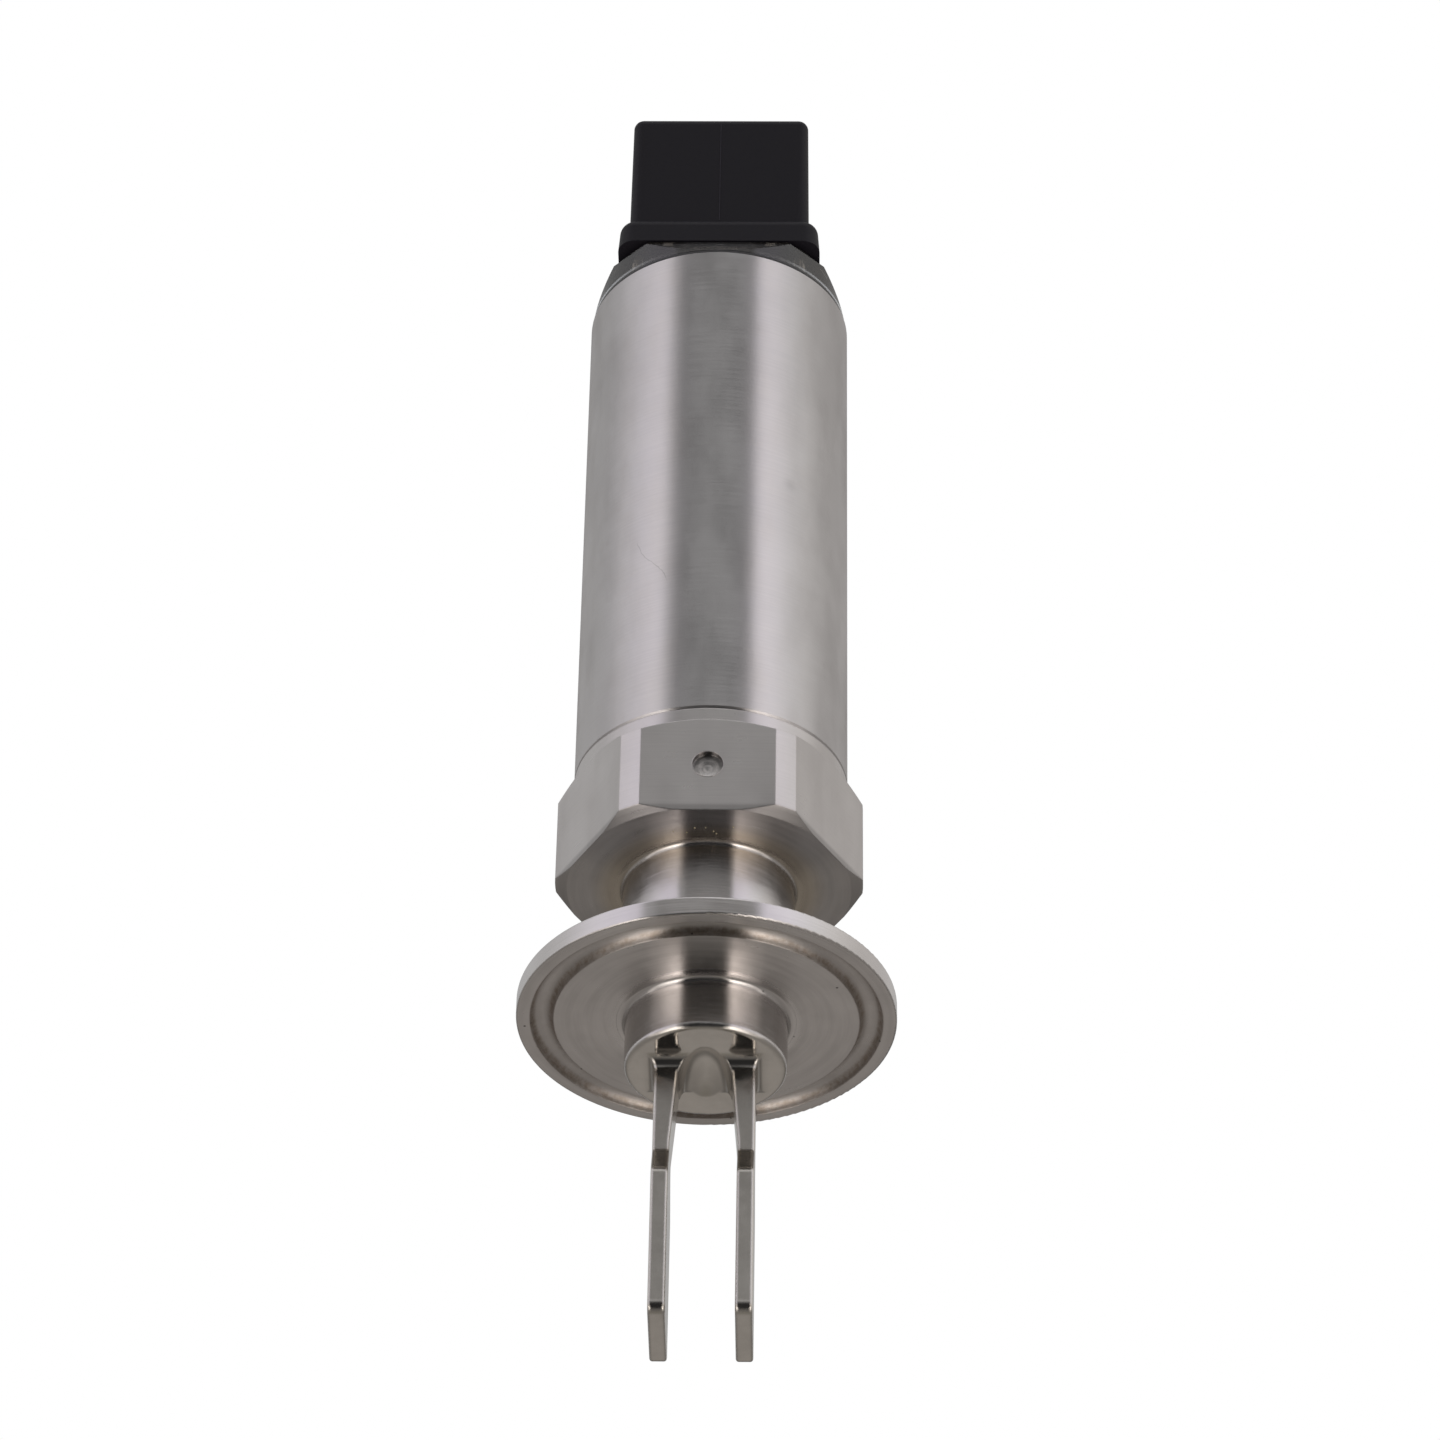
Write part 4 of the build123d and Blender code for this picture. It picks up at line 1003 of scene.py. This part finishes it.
class LEVELSWITCH_OT_cover(bpy.types.Operator):
    """Finishes the clear cover and the seals."""

    bl_idname = "level_switch.cover"
    bl_label = "Cover and seals"

    def execute(self, context):
        plastic = context.scene.switch_plastic
        paint(clear_plastic(plastic), "clear_cover")
        paint(
            seal_rubber(plastic),
            "housing_seal", "cover_gasket", "cover_seal", "plug_gasket", "screw_seal",
            "gland_grommet",
        )
        return {"FINISHED"}


class LEVELSWITCH_OT_plug(bpy.types.Operator):
    """Finishes the cable plug, its gland and the connector base below it."""

    bl_idname = "level_switch.plug"
    bl_label = "Cable plug"

    def execute(self, context):
        paint(
            black_plastic(context.scene.switch_plastic),
            "plug_housing", "gland_nut", "gland_washer", "connector_base", "plug_insert",
        )
        return {"FINISHED"}


class LEVELSWITCH_OT_fittings(bpy.types.Operator):
    """Adds the gland's thread, the plug's mould seam, the burr of the mark and a little dust."""

    bl_idname = "level_switch.fittings"
    bl_label = "Fine fittings"

    def execute(self, context):
        fit = context.scene.switch_fittings
        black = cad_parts["plug_housing"].material_slots[0].material
        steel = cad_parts["process_body"].material_slots[0].material
        plastic = context.scene.switch_plastic
        # Painted highlight: the seam's black plastic is four times lighter, for light caught on
        # its ridge
        highlit_flash = black_plastic(plastic, "mould_flash", brightness=4.0).material
        dust = speckled(
            "pale_dust", fit.dust_colour, roughness=0.8, size=0.1 * MM, spread=0.1
        ).material
        self.add_thread(fit, black)
        self.add_seam(fit, highlit_flash)
        self.add_burr(fit, steel)
        self.add_dust(fit, dust)
        return {"FINISHED"}

    def add_thread(self, fit, material):
        """The turns of the thread that show between the plug and the nut."""
        sizes = {
            "Radius": fit.thread_radius, "Length": fit.thread_length,
            "Depth": fit.thread_depth, "Turns": fit.thread_length / fit.thread_pitch,
            "Steps per turn": THREAD_STEPS,
        }
        start = Vector((0, NUT_LOW.y - fit.thread_length, (NUT_LOW.z + NUT_HIGH.z) / 2))
        move = Matrix.Translation(start) @ Matrix.Rotation(-math.pi / 2, 4, "X")
        grow("gland_thread", thread_tree, material, sizes, move)

    def add_seam(self, fit, material):
        """The line that the mould leaves up the front of the plug."""
        slope = math.tan(fit.plug_draft)
        height = PLUG_HIGH.z - fit.seam_end - fit.seam_start
        sizes = {
            "Height": height, "Lean": height * slope, "Depth": fit.seam_depth,
            "Steps": SEAM_STEPS,
        }
        above_skirt = fit.seam_start - PLUG_LOW.z - fit.skirt_height
        front = -fit.plug_side / 2 + above_skirt * slope
        move = Matrix.Translation((0, front, fit.seam_start))
        grow("mould_seam", seam_tree, material, sizes, move)

    def add_burr(self, fit, material):
        """The burr around the drilled mark on the front flat."""
        sizes = {"Radius": MARK_R, "Depth": fit.burr_depth}
        move = Matrix.Translation(MARK_CENTRE) @ Matrix.Rotation(math.pi / 2, 4, "X")
        grow("mark_burr", burr_tree, material, sizes, move)

    def add_dust(self, fit, material):
        """Grains of pale dust under the hexagon, in front of the neck."""
        width, depth = DUST_PATCH
        sizes = {
            "Width": width, "Depth": depth, "Density": fit.dust_density,
            "Seed": DUST_SEED, "Grain": fit.dust_size,
        }
        move = Matrix.Translation(DUST_CENTRE)
        grow("dust", dust_tree, material, sizes, move)


# Speckled finishes: material, its colour among the settings, roughness, size of the grain, spread
# of the tone, metallic, and the nodes that have it
ELECTRONICS = (
    ("carrier_plastic", "carrier_colour", 0.5, 0.4 * MM, 0.05, 0.0, ["board_carrier"]),
    ("moulded_epoxy", "epoxy_colour", 0.5, 0.15 * MM, 0.15, 0.0,
     ["chips", "lead_header", "link_header"]),
    ("drawn_can", "can_colour", 0.3, 0.3 * MM, 0.05, 1.0, ["capacitors"]),
    ("wound_core", "core_colour", 0.45, 0.5 * MM, 0.25, 0.0, ["choke_coil"]),
    ("tinned_brass", "tinned_colour", 0.3, 0.5 * MM, 0.06, 1.0,
     ["contact_blades", "plug_contacts", "electrode_foils"]),
    ("turned_brass", "brass_colour", 0.3, 0.4 * MM, 0.06, 1.0, ["thread_insert"]),
)
CERAMICS = (
    ("piezo_ceramic", "piezo_colour", 0.55, 0.2 * MM, 0.08, 0.0, ["piezo_discs"]),
    ("insulating_ceramic", "ceramic_colour", 0.4, 0.3 * MM, 0.03, 0.0, ["insulating_washers"]),
)


class LEVELSWITCH_OT_electronics(bpy.types.Operator):
    """Finishes the boards, their parts, the leads, the lamps and the contacts."""

    bl_idname = "level_switch.electronics"
    bl_label = "Electronics"

    def execute(self, context):
        inside = context.scene.switch_inside
        paint_speckled(inside, ELECTRONICS)
        paint(board_lacquer(inside), "main_board", "lamp_board")
        paint(wire_insulation(inside), "sensor_leads", "contact_leads")
        paint(lamp_lens(inside), "status_lamps")
        return {"FINISHED"}


class LEVELSWITCH_OT_drive(bpy.types.Operator):
    """Finishes the piezo drive and the small screws."""

    bl_idname = "level_switch.drive"
    bl_label = "Drive and screws"

    def execute(self, context):
        paint_speckled(context.scene.switch_inside, CERAMICS)
        paint(
            screw_steel(context.scene.switch_steel),
            "thrust_piece", "pressure_screw", "base_screws", "terminal_screws", "plug_screw",
        )
        return {"FINISHED"}


# What lies above eye level: turn from the front in degrees, brightness and warmth
UPPER_RING = (
    (-180, 0.42, 0.00), (-168, 0.50, 0.00), (-135, 0.60, 0.00), (-113, 0.61, 0.00),
    (-96, 0.70, -0.01), (-82, 0.82, -0.03), (-68, 0.97, -0.05), (-52, 0.96, -0.07),
    (-42, 0.90, -0.06), (-36, 0.42, 0.00), (0, 0.40, 0.00), (29, 0.42, 0.00),
    (36, 0.95, -0.06), (50, 1.07, -0.05), (66, 0.98, -0.01), (85, 0.86, 0.04),
    (105, 0.68, 0.06), (155, 0.62, 0.04), (178, 0.42, 0.00),
)
# The same below eye level, with a bright panel to each side of the front
LOWER_RING = (
    (-180, 0.36, 0.12), (-150, 0.31, 0.13), (-125, 0.25, 0.12), (-85, 0.30, 0.10),
    (-66, 1.80, 0.12), (-42, 3.90, 0.12), (-33, 0.04, 0.05), (0, 0.03, 0.00),
    (30, 0.04, 0.05), (38, 4.10, 0.14), (64, 1.80, 0.12), (85, 0.32, 0.10),
    (125, 0.24, 0.12), (150, 0.31, 0.13), (180, 0.35, 0.12),
)
# Straight ahead of the front: sine of the height, brightness and warmth
FRONT_COLUMN = (
    (-1.0, 0.18, 0.10), (-0.88, 0.16, 0.10), (-0.78, 0.03, 0.00), (-0.1, 0.03, 0.00),
    (0.12, 0.10, 0.00), (0.30, 0.48, 0.00), (0.42, 0.46, 0.00), (0.55, 0.23, 0.04),
    (0.66, 0.25, 0.04), (0.80, 0.95, 0.00), (1.0, 1.10, 0.00),
)

# Sines of the height between which one part of the room fades into the next
EYE_LEVEL = (-0.06, 0.06)
PANEL_TOP = (-0.42, -0.55)
PANEL_FOOT = (-0.84, -0.72)
GROUND_EDGE = (-0.80, -0.97)
HORIZON = (0.38, 0.15)
# The same in degrees to either side of the front
FRONT_SIDE = (27.0, 34.0)
PANEL_SIDE = (80.0, 66.0)
BACK_SIDE = (115.0, 145.0)

PANEL_SURROUND = (0.20, 0.185, 0.17, 1)
GROUND = (0.25, 0.235, 0.21, 1)
DARK_BACK = (0.05, 0.046, 0.04, 1)

# Half the side of the floor, and the distances from the axis between which it fades to white
FLOOR_HALF = 6.0
FLOOR_FADE = (0.8, 2.5)


def ramp(graph, value, low, high, stops):
    """Colours that change with a value between low and high, each from its place, brightness
    and warmth."""
    share = graph.math("DIVIDE", graph.minus(value, low), high - low)
    node = graph.add("ShaderNodeValToRGB", {"Fac": share})
    elements = node.color_ramp.elements
    for index, (place, level, warm) in enumerate(stops):
        position = (place - low) / (high - low)
        element = elements[index] if index < 2 else elements.new(position)
        element.position = position
        element.color = (level, level * (1 - 0.5 * abs(warm)), level * (1 - warm), 1)
    return node.outputs["Color"]


def studio_room(graph):
    """A ring of soft light: bright panels to both sides of a dim front, paler walls behind."""
    x, y, height = graph.split(graph.add("ShaderNodeTexCoord").outputs["Generated"])
    angle = graph.times(graph.azimuth(x, y), 180 / math.pi)
    aside = graph.math("ABSOLUTE", angle)
    upper = ramp(graph, angle, -180, 180, UPPER_RING)
    lower = ramp(graph, angle, -180, 180, LOWER_RING)
    panel = graph.times(graph.fade(height, *PANEL_TOP), graph.fade(height, *PANEL_FOOT))
    off_panel = graph.times(graph.fade(aside, *PANEL_SIDE), graph.minus(1.0, panel))
    lower = graph.blend(graph.times(off_panel, 0.75), lower, PANEL_SURROUND)
    ring = graph.blend(graph.fade(height, *EYE_LEVEL), lower, upper)
    ring = graph.blend(graph.fade(height, *GROUND_EDGE), ring, GROUND)
    near_horizon = graph.fade(graph.math("ABSOLUTE", height), *HORIZON)
    dark = graph.times(near_horizon, graph.fade(aside, *BACK_SIDE))
    ring = graph.blend(graph.times(dark, 0.6), ring, DARK_BACK)
    column = ramp(graph, height, -1.0, 1.0, FRONT_COLUMN)
    return graph.blend(graph.fade(aside, *FRONT_SIDE), column, ring)


class LEVELSWITCH_OT_stage(bpy.types.Operator):
    """Sets up the floor, the soft light and the camera."""

    bl_idname = "level_switch.stage"
    bl_label = "Stage"

    def execute(self, context):
        studio = context.scene.switch_studio
        self.make_world(context.scene)
        self.make_floor(context.scene, studio)
        self.make_lamps(context.scene, studio)
        self.make_camera(context.scene, studio)
        context.scene.view_settings.view_transform = "Standard"
        return {"FINISHED"}

    def make_world(self, scene):
        """Plain white for what the camera sees directly, the soft room for all other light."""
        scene.world = bpy.data.worlds.new("studio")
        graph = Graph(emptied_tree(scene.world))
        colour = graph.blend(graph.seen_directly(), studio_room(graph), (1, 1, 1, 1))
        light = graph.add("ShaderNodeBackground", {"Color": colour, "Strength": 1.0})
        graph.add("ShaderNodeOutputWorld", {"Surface": light.outputs["Background"]})

    def make_floor(self, scene, studio):
        """A wide pale floor that the camera sees fade to white away from the object."""
        mesh = bpy.data.meshes.new("floor")
        corners = ((-1, -1), (1, -1), (1, 1), (-1, 1))
        points = [(x * FLOOR_HALF, y * FLOOR_HALF, -studio.floor_drop) for x, y in corners]
        mesh.from_pydata(points, [], [(0, 1, 2, 3)])
        mesh.materials.append(self.floor_material(studio))
        floor = bpy.data.objects.new("floor", mesh)
        scene.collection.objects.link(floor)
        floor.visible_glossy = False

    def floor_material(self, studio):
        """A pale paint that gives way to plain white for what the camera sees of it."""
        material = bpy.data.materials.new("pale_floor")
        graph = Graph(emptied_tree(material))
        x, y, _ = graph.split(graph.add("ShaderNodeTexCoord").outputs["Object"])
        far = graph.fade(graph.length(x, y, 0.0), *FLOOR_FADE, 0.8, 1.0)
        white_share = graph.times(graph.seen_directly(), far)
        pale = graph.add("ShaderNodeBsdfDiffuse", {"Color": opaque(studio.floor_colour)})
        white = graph.add("ShaderNodeEmission", {"Color": (1, 1, 1, 1), "Strength": 1.0})
        inputs = {0: white_share, 1: pale.outputs["BSDF"], 2: white.outputs["Emission"]}
        surface = graph.add("ShaderNodeMixShader", inputs).outputs["Shader"]
        graph.add("ShaderNodeOutputMaterial", {"Surface": surface})
        return material

    def make_lamps(self, scene, studio):
        """Two large soft lamps, one to each side and in front."""
        middle = Vector((0, 0, (CAD_BOX[0].z + CAD_BOX[1].z) / 2))
        for name, side in (("left_lamp", -1), ("right_lamp", 1)):
            lamp = bpy.data.lights.new(name, "AREA")
            lamp.shape = "RECTANGLE"
            lamp.size, lamp.size_y = studio.lamp_size
            lamp.energy = studio.lamp_power
            holder = bpy.data.objects.new(name, lamp)
            holder.visible_glossy = False
            place = Vector(studio.lamp_place) * Vector((side, 1, 1))
            turn = (middle - place).to_track_quat("-Z", "Y").to_matrix().to_4x4()
            holder.matrix_world = Matrix.Translation(place) @ turn
            scene.collection.objects.link(holder)

    def make_camera(self, scene, studio):
        """A camera that looks up at the fork from in front and below."""
        camera = bpy.data.cameras.new("camera")
        camera.sensor_width = 36.0
        camera.lens = studio.camera_lens
        camera.clip_start = 0.01
        holder = bpy.data.objects.new("camera", camera)
        heading = Matrix.Rotation(studio.camera_heading, 4, "Z")
        pitch = Matrix.Rotation(math.pi / 2 + studio.camera_pitch, 4, "X")
        roll = Matrix.Rotation(studio.camera_roll, 4, "Z")
        place = Matrix.Translation(studio.camera_place)
        holder.matrix_world = place @ heading @ pitch @ roll
        scene.collection.objects.link(holder)
        scene.camera = holder


STEPS = (
    LEVELSWITCH_OT_body,
    LEVELSWITCH_OT_fork,
    LEVELSWITCH_OT_tube,
    LEVELSWITCH_OT_cover,
    LEVELSWITCH_OT_plug,
    LEVELSWITCH_OT_fittings,
    LEVELSWITCH_OT_electronics,
    LEVELSWITCH_OT_drive,
    LEVELSWITCH_OT_stage,
)
SETTINGS = {
    "switch_steel": SteelSettings,
    "switch_plastic": PlasticSettings,
    "switch_inside": InsideSettings,
    "switch_fittings": FittingSettings,
    "switch_studio": StudioSettings,
}


class LEVELSWITCH_PT_steps(bpy.types.Panel):
    """Lists the steps that dress the level switch."""

    bl_idname = "LEVELSWITCH_PT_steps"
    bl_label = "Level Switch"
    bl_space_type = "VIEW_3D"
    bl_region_type = "UI"
    bl_category = "Level Switch"

    def draw(self, context):
        for step in STEPS:
            self.layout.operator(step.bl_idname)


def register():
    """Makes the settings, the operators and the panel known."""
    for name, settings in SETTINGS.items():
        bpy.utils.register_class(settings)
        setattr(bpy.types.Scene, name, PointerProperty(type=settings))
    for step in STEPS:
        bpy.utils.register_class(step)
    bpy.utils.register_class(LEVELSWITCH_PT_steps)


def unregister():
    """Takes the panel, the operators and the settings away again."""
    bpy.utils.unregister_class(LEVELSWITCH_PT_steps)
    for step in reversed(STEPS):
        bpy.utils.unregister_class(step)
    for name, settings in SETTINGS.items():
        delattr(bpy.types.Scene, name)
        bpy.utils.unregister_class(settings)


def main():
    """Registers the add-on and takes its steps in order."""
    register()
    for step in STEPS:
        group, name = step.bl_idname.split(".")
        getattr(getattr(bpy.ops, group), name)()


if __name__ == "__main__":
    main()
